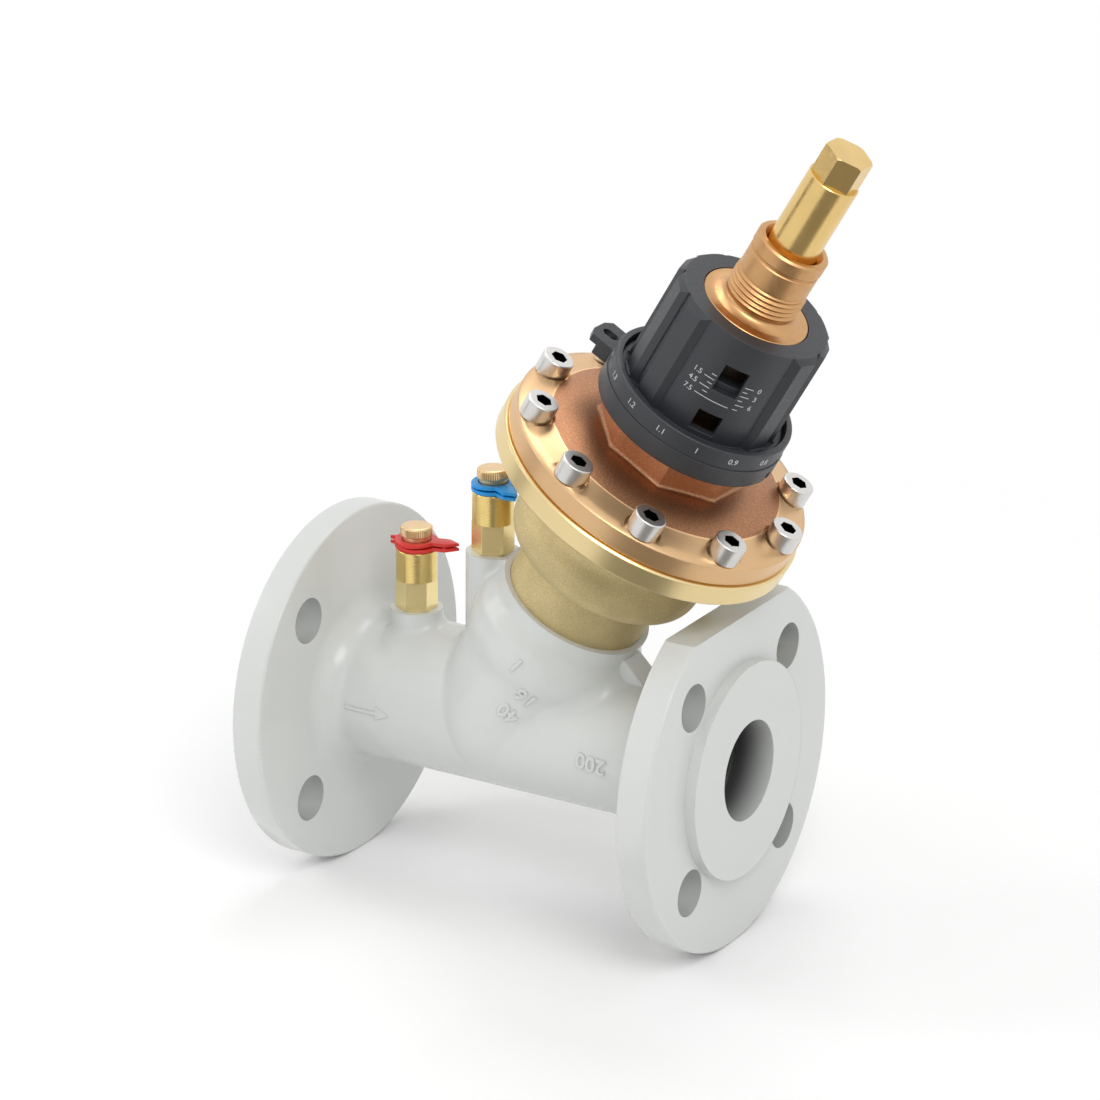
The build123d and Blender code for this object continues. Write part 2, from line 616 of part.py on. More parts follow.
def gland_nut():
    inner_r = SPINDLE_R + GAP
    spigot_r = GLAND_SPIGOT_R - FIT
    waist_r = GLAND_R - GLAND_GROOVE
    foot_s = GLAND_S - GLAND_SPIGOT
    return turned([(inner_r, foot_s), (spigot_r, foot_s), (spigot_r, GLAND_S), (waist_r, GLAND_S),
                   (waist_r, GLAND_S + GLAND_GROOVE), (GLAND_R, GLAND_S + 2 * GLAND_GROOVE),
                   (GLAND_R, GLAND_TOP_S - GLAND_GROOVE), (waist_r, GLAND_TOP_S),
                   (GLAND_FUNNEL_R, GLAND_TOP_S), (inner_r, GLAND_TOP_S - GLAND_FUNNEL)])


def gland_seal():
    return o_ring(GLAND_SPIGOT_R - FIT - GLAND_RING_R, GLAND_RING_R, GLAND_S - GLAND_SPIGOT - GLAND_RING_R)


def spindle():
    """Brass spindle: hexagon for a spanner, plain shank in the neck and a socket that carries the stem."""
    top = HEX_S + SPINDLE_HEX
    socket_s = SPINDLE_FOOT_S + SPINDLE_SOCKET
    socket_r = STEM_R + RUN
    shank = turned([(0, socket_s), (socket_r, socket_s), (socket_r, SPINDLE_FOOT_S),
                    (SPINDLE_R, SPINDLE_FOOT_S), (SPINDLE_R, HEX_S - SHANK_EDGE),
                    (SPINDLE_R - SHANK_EDGE, HEX_S), (0, HEX_S)])
    corner_r = SPINDLE_HEX_AF / math.sqrt(3)
    crown = turned([(0, HEX_S), (corner_r + HEX_CROWN, HEX_S), (corner_r + HEX_CROWN, top - 2 * HEX_CROWN),
                    (corner_r - HEX_CROWN, top), (0, top)])
    return shank + (prism(SPINDLE_HEX_AF, 6, HEX_S, top) & crown)


def valve_stem():
    spigot_r = STEM_SPIGOT_R - FIT
    top = SPINDLE_FOOT_S + SPINDLE_SOCKET - FIT
    foot = STEM_S - STEM_SPIGOT
    return turned([(0, foot), (spigot_r, foot), (spigot_r, STEM_S), (STEM_R, STEM_S), (STEM_R, top),
                   (0, top)])


def control_plug():
    boss_r = PLUG_BOSS_R - FIT
    nose_s = PLUG_SEAL_S - NOSE_LENGTH
    hole_s = STEM_S - STEM_SPIGOT
    return turned([(0, nose_s), (NOSE_R, nose_s), (boss_r, PLUG_SEAL_S), (boss_r, PLUG_S), (PLUG_R, PLUG_S),
                   (PLUG_R, STEM_S), (STEM_SPIGOT_R, STEM_S), (STEM_SPIGOT_R, hole_s), (0, hole_s)])


def plug_seal():
    return ring(PLUG_SEAL_R, PLUG_BOSS_R, PLUG_SEAL_S, PLUG_S)


def handwheel():
    """Ribbed hub with a plain scale panel, two windows in it and a foot that turns in the scale ring."""
    room_r = HUB_R - HUB_WALL
    foot_s = WEB_S + GAP
    rib_s = foot_s + HUB_FOOT_T
    lip_s = DISC_UNDER_S - GAP
    lip_r = NECK_R + GAP
    hub = turned([(room_r, foot_s), (HUB_FOOT_R, foot_s), (HUB_FOOT_R, rib_s), (HUB_R, rib_s),
                  (HUB_R, DISC_S), (DISC_R + GAP, DISC_S), (DISC_R + GAP, lip_s), (lip_r, lip_s),
                  (lip_r, lip_s - HUB_LIP_T), (room_r, lip_s - HUB_LIP_T)])
    root_r = HUB_R - HUB_WALL / 2
    foot, top = RIB_FOOT_W / 2, RIB_TOP_W / 2
    outline = make_face(Polyline((root_r, -foot), (HUB_R, -foot), (RIB_R, -top), (RIB_R, top), (HUB_R, foot),
                                 (root_r, foot), close=True))
    crown_r = RIB_R + RIB_BEVEL
    crown = turned([(0, rib_s), (crown_r, rib_s), (crown_r, DISC_S - 2 * RIB_BEVEL),
                    (RIB_R - RIB_BEVEL, DISC_S), (0, DISC_S)])
    rib = Pos(0, 0, rib_s) * extrude(outline, DISC_S - rib_s) & crown
    lip_top_s = rib_s + RIB_LIP_H
    lip = ring(RIB_R + RIB_LIP, root_r, rib_s, lip_top_s)
    rib += lip & hub_box(0, RIB_TOP_W, root_r, crown_r, rib_s, lip_top_s)
    first = PANEL_ANGLE + 180 - RIB_PITCH * (RIB_COUNT - 1) / 2
    for index in range(RIB_COUNT):
        hub += Rot(0, 0, first + RIB_PITCH * index) * rib
    width = 2 * HUB_R * math.sin(math.radians(WINDOW_ANGLE / 2))
    for drop, height in ((WINDOW_UPPER_DROP, WINDOW_UPPER_H), (WINDOW_LOWER_DROP, WINDOW_LOWER_H)):
        hub -= hub_box(PANEL_ANGLE, width, NECK_R, RIB_R, DISC_S - drop - height, DISC_S - drop)
    for side in (-90, 90):
        hub -= hub_box(PANEL_ANGLE + side, KEY_W + 2 * GAP, NECK_R, room_r + KEY_DEPTH + GAP, foot_s,
                       lip_s - HUB_LIP_T)
    return hub


def indicator_sleeve():
    """Threaded sleeve behind the windows, keyed to the hub, that climbs the neck as the wheel turns."""
    high = DISC_S - INDICATOR_DROP
    low = high - INDICATOR_H
    outer_r = HUB_R - HUB_WALL - GAP
    bore_r = NECK_R + GAP
    sleeve = ring(outer_r, bore_r, low, high)
    for side in (-90, 90):
        sleeve += hub_box(PANEL_ANGLE + side, KEY_W, bore_r + GAP, outer_r + KEY_DEPTH, low, high)
    return sleeve


POINT_TURNED_Z = HEX_H + TURNED_H
POINT_NOZZLE_Z = POINT_TURNED_Z + NOZZLE_H
CAP_Z = POINT_NOZZLE_Z + CAP_SEAL_T
CAP_HEAD_Z = CAP_Z + CAP_COLLAR_H


def test_point():
    """Brass test point: spigot in the boss, hexagon, turned barrel and the nozzle that the cap closes."""
    barrel = turned([(POINT_BORE_R, -POINT_SPIGOT), (POINT_SPIGOT_R, -POINT_SPIGOT), (POINT_SPIGOT_R, HEX_H),
                     (TURNED_R, HEX_H), (TURNED_R, POINT_TURNED_Z), (NOZZLE_R, POINT_TURNED_Z),
                     (NOZZLE_R, POINT_NOZZLE_Z), (POINT_BORE_R, POINT_NOZZLE_Z)], [(4, TURNED_EDGE)])
    corner_r = HEX_AF / math.sqrt(3)
    foot = turned([(POINT_BORE_R, 0), (corner_r - HEX_FOOT_EDGE, 0),
                   (corner_r + HEX_FOOT_EDGE, 2 * HEX_FOOT_EDGE), (corner_r + HEX_FOOT_EDGE, HEX_H),
                   (POINT_BORE_R, HEX_H)])
    return barrel + (prism(HEX_AF, 6, 0, HEX_H) & foot)


def core_seal():
    return disc(POINT_BORE_R - FIT, TURNED_H - CORE_LENGTH, TURNED_H)


def cap_seal():
    return ring(NOZZLE_R, CAP_STEM_R + GAP, POINT_NOZZLE_Z, CAP_Z)


def test_cap():
    top = CAP_HEAD_Z + CAP_H
    foot = CAP_Z - CAP_STEM
    return turned([(0, foot), (CAP_STEM_R, foot), (CAP_STEM_R, CAP_Z), (NOZZLE_R, CAP_Z),
                   (NOZZLE_R, CAP_HEAD_Z), (CAP_R, CAP_HEAD_Z), (CAP_R, top), (0, top)], [(6, CAP_EDGE)])


def strap():
    """Folded plastic tether: a ring on the nozzle, a ring on the cap's collar and the fold between them."""
    bore_r = NOZZLE_R + GAP
    low = POINT_TURNED_Z
    high = CAP_HEAD_Z - GAP - STRAP_T
    fold_x = STRAP_REACH - STRAP_TIP
    half, beak = STRAP_W / 2, STRAP_BEAK_W / 2
    leaf = make_face(Polyline((0, -half), (fold_x, -half), (STRAP_REACH, 0), (fold_x, half), (0, half),
                              (0, beak), (-STRAP_BEAK, 0), (0, -beak), close=True))
    layer = extrude(leaf + Circle(STRAP_RING_R), STRAP_T)
    piece = Pos(0, 0, low) * layer + Pos(0, 0, high) * layer
    piece += hub_box(0, STRAP_W, fold_x - STRAP_T, fold_x, low, high + STRAP_T)
    return piece - disc(bore_r, low, CAP_HEAD_Z)


def place_all():
    """Every node's solid in the valve's frame, by name."""
    tilted = {
        "seat_ring": seat_ring, "lower_housing": lower_housing, "housing_seal": housing_seal,
        "regulator_sleeve": regulator_sleeve, "diaphragm": diaphragm, "diaphragm_plate": diaphragm_plate,
        "plate_nut": plate_nut, "regulator_spring": regulator_spring, "bonnet_cover": bonnet_cover,
        "cover_screws": cover_screws, "stem_bush": stem_bush, "lock_ring": lock_ring,
        "scale_ring": scale_ring, "setting_neck": setting_neck, "gland_nut": gland_nut,
        "gland_seal": gland_seal, "spindle": spindle, "valve_stem": valve_stem,
        "control_plug": control_plug, "plug_seal": plug_seal, "handwheel": handwheel,
        "indicator_sleeve": indicator_sleeve,
    }
    upright = {"test_point": test_point, "core_seal": core_seal, "cap_seal": cap_seal, "test_cap": test_cap}
    nodes = {"valve_body": valve_body()}
    for name, make in tilted.items():
        nodes[name] = BONNET * make()
    points = (("red", RED_X, RED_Z, RED_STRAP_TURN), ("blue", BLUE_X, BLUE_Z, BLUE_STRAP_TURN))
    for colour, x, z, turn in points:
        for name, make in upright.items():
            nodes[f"{colour}_{name}"] = Pos(x, 0, z) * make()
        nodes[f"{colour}_strap"] = Pos(x, 0, z) * Rot(0, 0, turn) * strap()
    return nodes


os.makedirs("parts", exist_ok=True)
for node, solid in place_all().items():
    export_step(solid, f"parts/{node}.step")
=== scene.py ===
import json
import math

import bmesh
import bpy
import numpy as np
from bpy.props import FloatProperty, FloatVectorProperty, IntProperty, PointerProperty
from bpy.types import Operator, Panel, PropertyGroup
from mathutils import Matrix, Vector


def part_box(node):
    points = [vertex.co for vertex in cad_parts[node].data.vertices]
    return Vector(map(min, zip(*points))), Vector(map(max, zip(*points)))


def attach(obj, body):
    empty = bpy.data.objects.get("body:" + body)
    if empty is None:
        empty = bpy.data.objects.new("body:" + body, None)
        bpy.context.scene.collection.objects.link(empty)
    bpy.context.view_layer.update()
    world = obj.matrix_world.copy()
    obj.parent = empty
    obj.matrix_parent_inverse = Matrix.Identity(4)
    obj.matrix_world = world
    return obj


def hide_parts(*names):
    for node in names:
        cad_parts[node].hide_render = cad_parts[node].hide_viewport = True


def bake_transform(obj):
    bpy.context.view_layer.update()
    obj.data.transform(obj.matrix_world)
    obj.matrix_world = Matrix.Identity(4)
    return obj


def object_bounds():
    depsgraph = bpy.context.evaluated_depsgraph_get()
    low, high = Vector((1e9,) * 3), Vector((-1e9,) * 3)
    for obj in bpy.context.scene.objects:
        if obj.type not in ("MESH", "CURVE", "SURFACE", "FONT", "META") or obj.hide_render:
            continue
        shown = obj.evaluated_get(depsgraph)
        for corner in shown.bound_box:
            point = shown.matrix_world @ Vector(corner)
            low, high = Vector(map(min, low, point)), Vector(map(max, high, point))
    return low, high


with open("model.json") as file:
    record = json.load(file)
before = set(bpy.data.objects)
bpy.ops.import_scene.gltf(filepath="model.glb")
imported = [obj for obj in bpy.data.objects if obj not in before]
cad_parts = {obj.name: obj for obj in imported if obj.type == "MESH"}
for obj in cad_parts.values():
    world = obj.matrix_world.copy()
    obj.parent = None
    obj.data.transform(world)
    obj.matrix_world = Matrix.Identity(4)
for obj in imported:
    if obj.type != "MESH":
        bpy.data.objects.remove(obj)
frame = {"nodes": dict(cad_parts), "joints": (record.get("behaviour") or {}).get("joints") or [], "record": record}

bl_info = {
    "name": "Flanged balancing valve",
    "version": (1, 0, 0),
    "blender": (4, 5, 0),
    "location": "3D View > Sidebar > Valve",
    "description": "Finishes a flanged balancing valve, its dial, caps and straps, in a white studio",
    "category": "Object",
}

CAD_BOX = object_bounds()
JOINTS = {joint["name"]: joint for joint in frame["joints"]}
MM = 0.001

# The bonnet's axis, taken from the spindle's joint; heights s run along it from the pipe's axis
AXIS = np.array(JOINTS["spindle_turn"]["axis"])
ON_AXIS = np.array(JOINTS["spindle_turn"]["pos_m"])
FOOT = ON_AXIS - AXIS * ON_AXIS[2] / AXIS[2]
SIDE = np.array((0.0, 1.0, 0.0))
DOWNHILL = np.cross(SIDE, AXIS)
TILT = math.atan2(AXIS[0], AXIS[2])

# The cast body: pipe, leaning barrel and flanges
TUBE_R = 29.0 * MM
BARREL_R = 32.0 * MM
BELLY_R = 35.5 * MM
BELLY_S = 45.0 * MM
BELLY_FOOT_S = 28.0 * MM
PIPE_BORE_R = 20.5 * MM
BOLT_HOLE_R = 9.5 * MM
BOLT_CIRCLE_R = 55.0 * MM
FACE_TO_FACE = 200.0 * MM
FLANGE_BACK = 18.0 * MM
MASK_MARGIN = 0.1 * MM

# The housing, its spring, the cover and the cover's screws
HOUSING_TURNED_R = 60.0 * MM
SPRING_FLOOR_S = 90.05 * MM
SPRING_TOP_S = 123.95 * MM
COVER_CAST_R = 49.6 * MM
DOME_TOP_S = 148.6 * MM
SCREW_COUNT = 10
SCREW_ANGLE = math.radians(5.6)
SCREW_CIRCLE_R = 56.0 * MM
SCREW_SOCKET_R = 3.6 * MM
SCREW_TOP_S = 149.9 * MM

# The actuator neck, with radii from the axis and stations up it
STEM_BORE_R = 7.0 * MM
NECK_FOOT_R = 16.0 * MM
NECK_SHAFT_R = 20.0 * MM
DISC_R = 22.1 * MM
CONE_R = 18.0 * MM
CONE_POWER = 2.2  # how hollow the cone's flank is
THREAD_R = 15.0 * MM
RUN_OUT_R = 14.2 * MM
UNDERCUT_R = 13.9 * MM
COLLAR_R = 14.4 * MM
GLAND_BORE_R = 12.4 * MM
SPINDLE_BORE_R = 10.26 * MM
NECK_FOOT_S = 154.5 * MM
NECK_SHAFT_S = 171.5 * MM
STEM_BORE_TOP_S = 194.0 * MM
DISC_UNDER_S = 214.5 * MM
DISC_TOP_S = 219.6 * MM
THREAD_LOW_S = 222.8 * MM
THREAD_HIGH_S = 233.1 * MM
GLAND_FLOOR_S = 235.05 * MM
NECK_TOP_S = 243.0 * MM

# Test points, their caps and their straps
POINT_TURNED_Z = {"red": 50.9 * MM, "blue": 82.2 * MM}
POINT_TURNED_HEIGHT = 13.0 * MM
CAP_STEM_R = 3.2 * MM
CAP_NECK_R = 5.8 * MM
CAP_NECK_DROP = 5.8 * MM
CAP_HEAD_DROP = 4.2 * MM
STRAP_TURNS = {"red": 12.0, "blue": -30.0}
STRAP_BORE_R = 6.1 * MM
STRAP_RIM_R = 8.9 * MM
STRAP_POINT = 4.5 * MM
STRAP_BEAK = 11.3 * MM
STRAP_BEAK_SLOPE = 2.6
STRAP_WAVE = 0.28 * MM
STRAP_REST = 0.3 * MM
STRAP_GAP = 0.45 * MM
FOLD_FROM_TIP = 5.6 * MM
FOLD_R = 1.0 * MM
FOLD_INSET = 0.3 * MM

# Print of the dial: angles in degrees from the downhill side, and stations in millimetres
SCALE_RING_R = 38.0 * MM
HUB_R = 30.0 * MM
PRINT_PROUD = 0.05 * MM
RING_TENTHS = range(3, 18)
RING_ANGLE_OF_ONE = -60.0
RING_STEP = 24.0
RING_TEXT_S = 173.1
HUB_NUMBERS = {
    -86.3: (("1.5", 199.4), ("4.5", 195.3), ("7.5", 191.0)),
    -37.6: (("0", 201.8), ("3", 197.8), ("6", 193.4)),
}
HUB_LINES = {
    (-80.5, -72.2): (199.3, 195.2),
    (-80.5, -53.0): (191.0,),
    (-76.0, -72.2): (201.3, 197.3, 193.2),
    (-49.6, -42.6): (201.8, 197.7, 193.4),
    (-49.6, -45.8): (199.8, 195.6, 191.2),
}

# Cast marks: numerals with angle in degrees and station in millimetres, and the flow arrow's outline
BARREL_MARKS = (("1", -84.6, 46.6), ("16", -68.2, 34.3), ("40", -73.2, 22.9))
BARREL_MARK_TURN = -11.0
PIPE_MARK = "200"
PIPE_MARK_X = 144.5 * MM
PIPE_MARK_ANGLE = math.radians(2.0)
PIPE_MARK_TURN = -6.0
CAST_EDGE = 0.35 * MM
ARROW_ALONG = np.array((28.5, 43.0, 43.0, 50.0, 43.0, 43.0, 28.5)) * MM
ARROW_ACROSS = np.array((-0.9, -0.9, -3.2, 0.0, 3.2, 0.9, 0.9)) * MM
ARROW_RISE = np.array((-0.5, 0.3)) * MM
ARROW_ANGLE = math.radians(1.0)

# Studio, in metres from the camera's target: lamps with size and power, cards with width and height
LAMPS = {
    "key": ((1.0, -1.0, 1.3), 0.9, 13.0),
    "side": ((-1.5, -0.6, 0.8), 0.8, 7.0),
    "back": ((-0.3, 0.9, 2.0), 1.0, 9.0),
}
STANDING_CARDS = {
    "front_card": ((0.55, -1.05, 0.30), 0.60, 1.1),
    "left_card": ((-1.3, -0.5, 0.2), 0.35, 1.4),
}
LYING_CARDS = {"floor_card": ((0.43, -0.70, -0.1485), 0.80, 1.2)}
CARD_GREY = (0.26, 0.25, 0.23)
FLOOR_X = 0.1
FLOOR_R = 9.0
FLOOR_FADE = (0.16, 0.75)
WHITE = (1.0, 1.0, 1.0, 1.0)

# Shading: fine surfaces are smooth below an angle, and most of a noise lies within its span
PIECE_SHARP_ANGLE = math.radians(40.0)
NODE_SHARP_ANGLE = math.radians(32.0)
NOISE_SPAN = (0.3, 0.7)
TOOL_LINE = 0.003 * MM
# painted highlight: lighter colour along the dial's edges
DIAL_EDGE_HIGHLIGHT = (0.085, 0.09, 0.10)


def on_bonnet(x, y, s):
    """Valve-frame points from bonnet coordinates: x downhill, y to the back and s up the bonnet's axis."""
    x, y, s = np.broadcast_arrays(x, y, s)
    return FOOT + x[..., None] * DOWNHILL + y[..., None] * SIDE + s[..., None] * AXIS


def around_bonnet(radius, angle, s):
    """Valve-frame points at a radius, an angle in radians from the downhill side, and a height s."""
    return on_bonnet(radius * np.cos(angle), radius * np.sin(angle), s)


def around_tube(radius, x, angle):
    """Valve-frame points on a cylinder about the pipe's axis, with the angle up from the front side."""
    x, angle, radius = np.broadcast_arrays(x, angle, radius)
    return np.stack((x, -radius * np.cos(angle), radius * np.sin(angle)), axis=-1)


def barrel_radius(s):
    """Radius of the body's barrel at a height: a smooth step from the plain barrel to its belly."""
    share = np.clip((s - BELLY_FOOT_S) / (BELLY_S - BELLY_FOOT_S), 0, 1)
    return BARREL_R + (BELLY_R - BARREL_R) * share ** 2 * (3 - 2 * share)


def grid_faces(rows, columns, wrap_rows, wrap_columns):
    """Quads between neighbours of a grid of points, numbered row by row and closed round where asked."""
    row = np.arange(rows if wrap_rows else rows - 1)
    column = np.arange(columns if wrap_columns else columns - 1)
    row, column = np.meshgrid(row, column, indexing="ij")
    below, right = (row + 1) % rows, (column + 1) % columns
    corners = ((row, column), (row, right), (below, right), (below, column))
    return np.stack([r * columns + c for r, c in corners], axis=-1).reshape(-1, 4)


def close_mesh(mesh):
    """Merges doubled points, points the faces outwards and shades smooth apart from sharp edges."""
    work = bmesh.new()
    work.from_mesh(mesh)
    bmesh.ops.remove_doubles(work, verts=work.verts, dist=1e-7)
    bmesh.ops.dissolve_degenerate(work, edges=work.edges, dist=1e-8)
    bmesh.ops.recalc_face_normals(work, faces=work.faces)
    work.to_mesh(mesh)
    work.free()
    mesh.polygons.foreach_set("use_smooth", np.ones(len(mesh.polygons), dtype=bool))
    mesh.set_sharp_from_angle(angle=PIECE_SHARP_ANGLE)


def surface_mesh(name, sheets):
    """One mesh from sheets, each a grid of points with flags that close its rows and its columns."""
    points, faces, count = [], [], 0
    for grid, wrap_rows, wrap_columns in sheets:
        faces.append(grid_faces(*grid.shape[:2], wrap_rows, wrap_columns) + count)
        points.append(grid.reshape(-1, 3))
        count += len(points[-1])
    mesh = bpy.data.meshes.new(name)
    mesh.from_pydata(np.concatenate(points), [], np.concatenate(faces).tolist())
    close_mesh(mesh)
    return mesh


def link_object(name, data):
    """Puts a new object with its mesh, text, lamp or camera in the scene."""
    made = bpy.data.objects.new(name, data)
    bpy.context.scene.collection.objects.link(made)
    return made


def finish_of(slot):
    """Finish that was made under a slot's name."""
    return bpy.data.materials[f"{slot}_finish"]


def place_piece(mesh, material, body, replaced=()):
    """Puts a finished mesh in the scene as a piece that may move with a body and may stand for nodes."""
    mesh.materials.append(material)
    piece = link_object(mesh.name, mesh)
    if body:
        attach(piece, body)
    if replaced:
        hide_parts(*replaced)
    return piece


def turned_grid(profile, columns, radius_at):
    """Arrays of x, y and height: each (radius, height) of a profile goes round in equal steps.

    radius_at(radius, height, angle) changes the radius round the turn, as a thread or a knurl does.
    """
    radius, height = np.array(profile).T[:, :, None]
    angle = np.arange(columns) * 2 * math.pi / columns
    radius = radius_at(radius, height, angle)
    return radius * np.cos(angle), radius * np.sin(angle), np.broadcast_to(height, radius.shape)


def shade(colour, factor):
    """A colour made darker or lighter."""
    return tuple(min(1.0, value * factor) for value in colour)


class Finish:
    """A material in the making: a principled shader with short ways to add nodes and join them."""

    def __init__(self, name, colour, roughness, metallic=0.0):
        self.material = bpy.data.materials.new(f"{name}_finish")
        self.material.use_nodes = True
        self.tree = self.material.node_tree
        self.shader = self.tree.nodes["Principled BSDF"]
        self.where = self.node("ShaderNodeTexCoord").outputs["Object"]
        self.set("Base Color", (*colour, 1.0))
        self.set("Roughness", roughness)
        self.set("Metallic", metallic)

    def set(self, socket, value):
        self.put(self.shader.inputs[socket], value)

    def put(self, socket, value):
        """Joins an output to the socket, or sets a constant on it."""
        if isinstance(value, bpy.types.NodeSocket):
            self.tree.links.new(value, socket)
        else:
            socket.default_value = value

    def node(self, kind, inputs=None, **settings):
        made = self.tree.nodes.new(kind)
        for name, value in settings.items():
            setattr(made, name, value)
        for name, value in (inputs or {}).items():
            self.put(made.inputs[name], value)
        return made

    def math(self, operation, *values):
        return self.node("ShaderNodeMath", dict(enumerate(values)), operation=operation).outputs[0]

    def times(self, first, second):
        return self.math("MULTIPLY", first, second)

    def minus(self, first, second):
        return self.math("SUBTRACT", first, second)

    def below(self, value, limit):
        """1 where a value is under its limit and 0 elsewhere."""
        return self.math("LESS_THAN", value, limit)

    def length(self, first, second):
        return self.math("SQRT", self.math("ADD", self.times(first, first), self.times(second, second)))

    def vector(self, operation, first, *second):
        inputs = dict(enumerate((first, *second)))
        return self.node("ShaderNodeVectorMath", inputs, operation=operation).outputs

    def parts(self, vector):
        return self.node("ShaderNodeSeparateXYZ", {0: vector}).outputs

    def on_bonnet(self):
        """Bonnet coordinates of the point: x downhill, y to the back and s up the axis."""
        frame_of = {"Vector": self.where, "Location": tuple(FOOT), "Rotation": (0.0, TILT, 0.0)}
        return self.parts(self.node("ShaderNodeMapping", frame_of, vector_type="TEXTURE").outputs[0])

    def noise(self, scale, detail):
        inputs = {"Vector": self.where, "Scale": scale, "Detail": detail}
        return self.node("ShaderNodeTexNoise", inputs).outputs["Fac"]

    def ramp(self, value, low, high, first=0.0, last=1.0):
        """Smooth step of a value between two limits."""
        inputs = {"Value": value, "From Min": low, "From Max": high, "To Min": first, "To Max": last}
        return self.node("ShaderNodeMapRange", inputs, interpolation_type="SMOOTHSTEP").outputs["Result"]

    def blend(self, factor, first, second):
        """Colour between two colours or colour outputs."""
        mix = self.node("ShaderNodeMix", {0: factor}, data_type="RGBA")
        for index, colour in ((6, first), (7, second)):
            plain = not isinstance(colour, bpy.types.NodeSocket)
            self.put(mix.inputs[index], (*colour, 1.0) if plain else colour)
        return mix.outputs[2]

    def mottle(self, colour, scale, detail, low, high):
        """Colour in soft patches between two shades of it."""
        return self.blend(self.noise(scale, detail), shade(colour, low), shade(colour, high))

    def gloss(self, scale, detail, low, high):
        """Sets a roughness that wanders between two values."""
        self.set("Roughness", self.ramp(self.noise(scale, detail), *NOISE_SPAN, low, high))

    def lines(self, value, pitch):
        """Fine grooves at a pitch along a value, from 0 to 1."""
        wave = self.math("SINE", self.times(value, 2 * math.pi / pitch))
        return self.math("MULTIPLY_ADD", wave, 0.5, 0.5)

    def rounded_normal(self, radius):
        """Normal that runs round sharp edges at a radius, for a soft light line along them."""
        return self.node("ShaderNodeBevel", {"Radius": radius}, samples=4).outputs["Normal"]

    def edge_wear_and_highlight(self, normal):
        """1 along sharp edges and 0 on plain faces, from how far the rounded normal leaves the true one."""
        true = self.node("ShaderNodeNewGeometry").outputs["True Normal"]
        return self.ramp(self.vector("DOT_PRODUCT", normal, true)["Value"], 0.80, 0.995, 1.0, 0.0)

    def relief(self, height, depth, under=None):
        """Surface relief of a depth in metres, on top of another normal."""
        inputs = {"Height": height, "Distance": depth}
        if under:
            inputs["Normal"] = under
        return self.node("ShaderNodeBump", inputs).outputs["Normal"]


def colour_value(name, description, default):
    return FloatVectorProperty(name=name, description=description, default=default, subtype="COLOR",
                               min=0.0, max=1.0)


def length_value(name, description, default):
    return FloatProperty(name=name, description=description, default=default, unit="LENGTH", precision=5)


def angle_value(name, description, degrees):
    return FloatProperty(name=name, description=description, default=math.radians(degrees), subtype="ANGLE")


class FinishColours(PropertyGroup):
    """Colours of the valve's finishes."""

    paint: colour_value("Paint", "Grey paint of the cast body", (0.62, 0.635, 0.62))
    housing: colour_value("Housing", "Blasted brass of the lower housing", (0.60, 0.49, 0.26))
    housing_rim: colour_value("Housing rim", "Turned brass of the housing's flange", (0.80, 0.64, 0.34))
    cover: colour_value("Cover rim", "Machined bronze of the cover", (0.72, 0.47, 0.25))
    cover_cast: colour_value("Cover casting", "Rough cast bronze of the cover's dome", (0.41, 0.20, 0.105))
    neck: colour_value("Neck", "Turned bronze of the neck and gland", (0.62, 0.355, 0.16))
    spindle: colour_value("Spindle", "Polished brass of the spindle", (0.78, 0.55, 0.22))
    point: colour_value("Test points", "Yellow brass of the test points", (0.80, 0.60, 0.23))
    # painted highlight: the hexagons' paler colour stands in for the bright reflection on their faces
    point_hexagon_highlight: colour_value("Test point hexagons", "Milled brass of the hexagons", (0.92, 0.75, 0.37))
    cap: colour_value("Caps", "Pale bronze of the knurled caps", (0.80, 0.58, 0.33))
    steel: colour_value("Screws", "Stainless steel of the screws", (0.70, 0.69, 0.67))
    plastic: colour_value("Dial", "Charcoal plastic of the dial", (0.030, 0.032, 0.037))
    red: colour_value("Red strap", "Strap of the inlet side's test point", (0.62, 0.022, 0.018))
    blue: colour_value("Blue strap", "Strap of the chamber's test point", (0.0, 0.27, 0.68))
    rubber: colour_value("Seals", "Black rubber of the seals", (0.018, 0.018, 0.018))
    ink: colour_value("Dial print", "White print of the dial", (0.52, 0.54, 0.56))


class NeckSizes(PropertyGroup):
    """Sizes of the actuator neck's thread."""

    pitch: length_value("Thread pitch", "Rise of the actuator thread in one turn", 2.1 * MM)
    depth: length_value("Thread depth", "From the thread's crest to its root", 0.9 * MM)
    columns: IntProperty(name="Steps round", description="Steps of the surface round the neck",
                         default=144, min=24)


class SpringSizes(PropertyGroup):
    """Sizes of the regulator's spring, on the bonnet's axis."""

    radius: length_value("Coil radius", "From the axis to the wire's middle", 27.0 * MM)
    wire: length_value("Wire radius", "Radius of the wire", 1.6 * MM)
    turns: IntProperty(name="Turns", description="Turns of the coil", default=4, min=1)


class CapSizes(PropertyGroup):
    """Sizes of the knurled caps."""

    teeth: IntProperty(name="Knurl teeth", description="Teeth of the straight knurl", default=44, min=12)
    tooth_depth: length_value("Tooth depth", "Depth of the knurl", 0.34 * MM)
    notch_depth: length_value("Notch depth", "Depth of the rim's finger notches", 0.7 * MM)


class StrapSizes(PropertyGroup):
    """Sizes of the folded straps."""

    thickness: length_value("Thickness", "Thickness of one layer", 1.5 * MM)
    width: length_value("Leaf width", "Width of the leaf", 7.0 * MM)
    reach: length_value("Leaf reach", "From the cap's axis to the leaf's tip", 18.4 * MM)


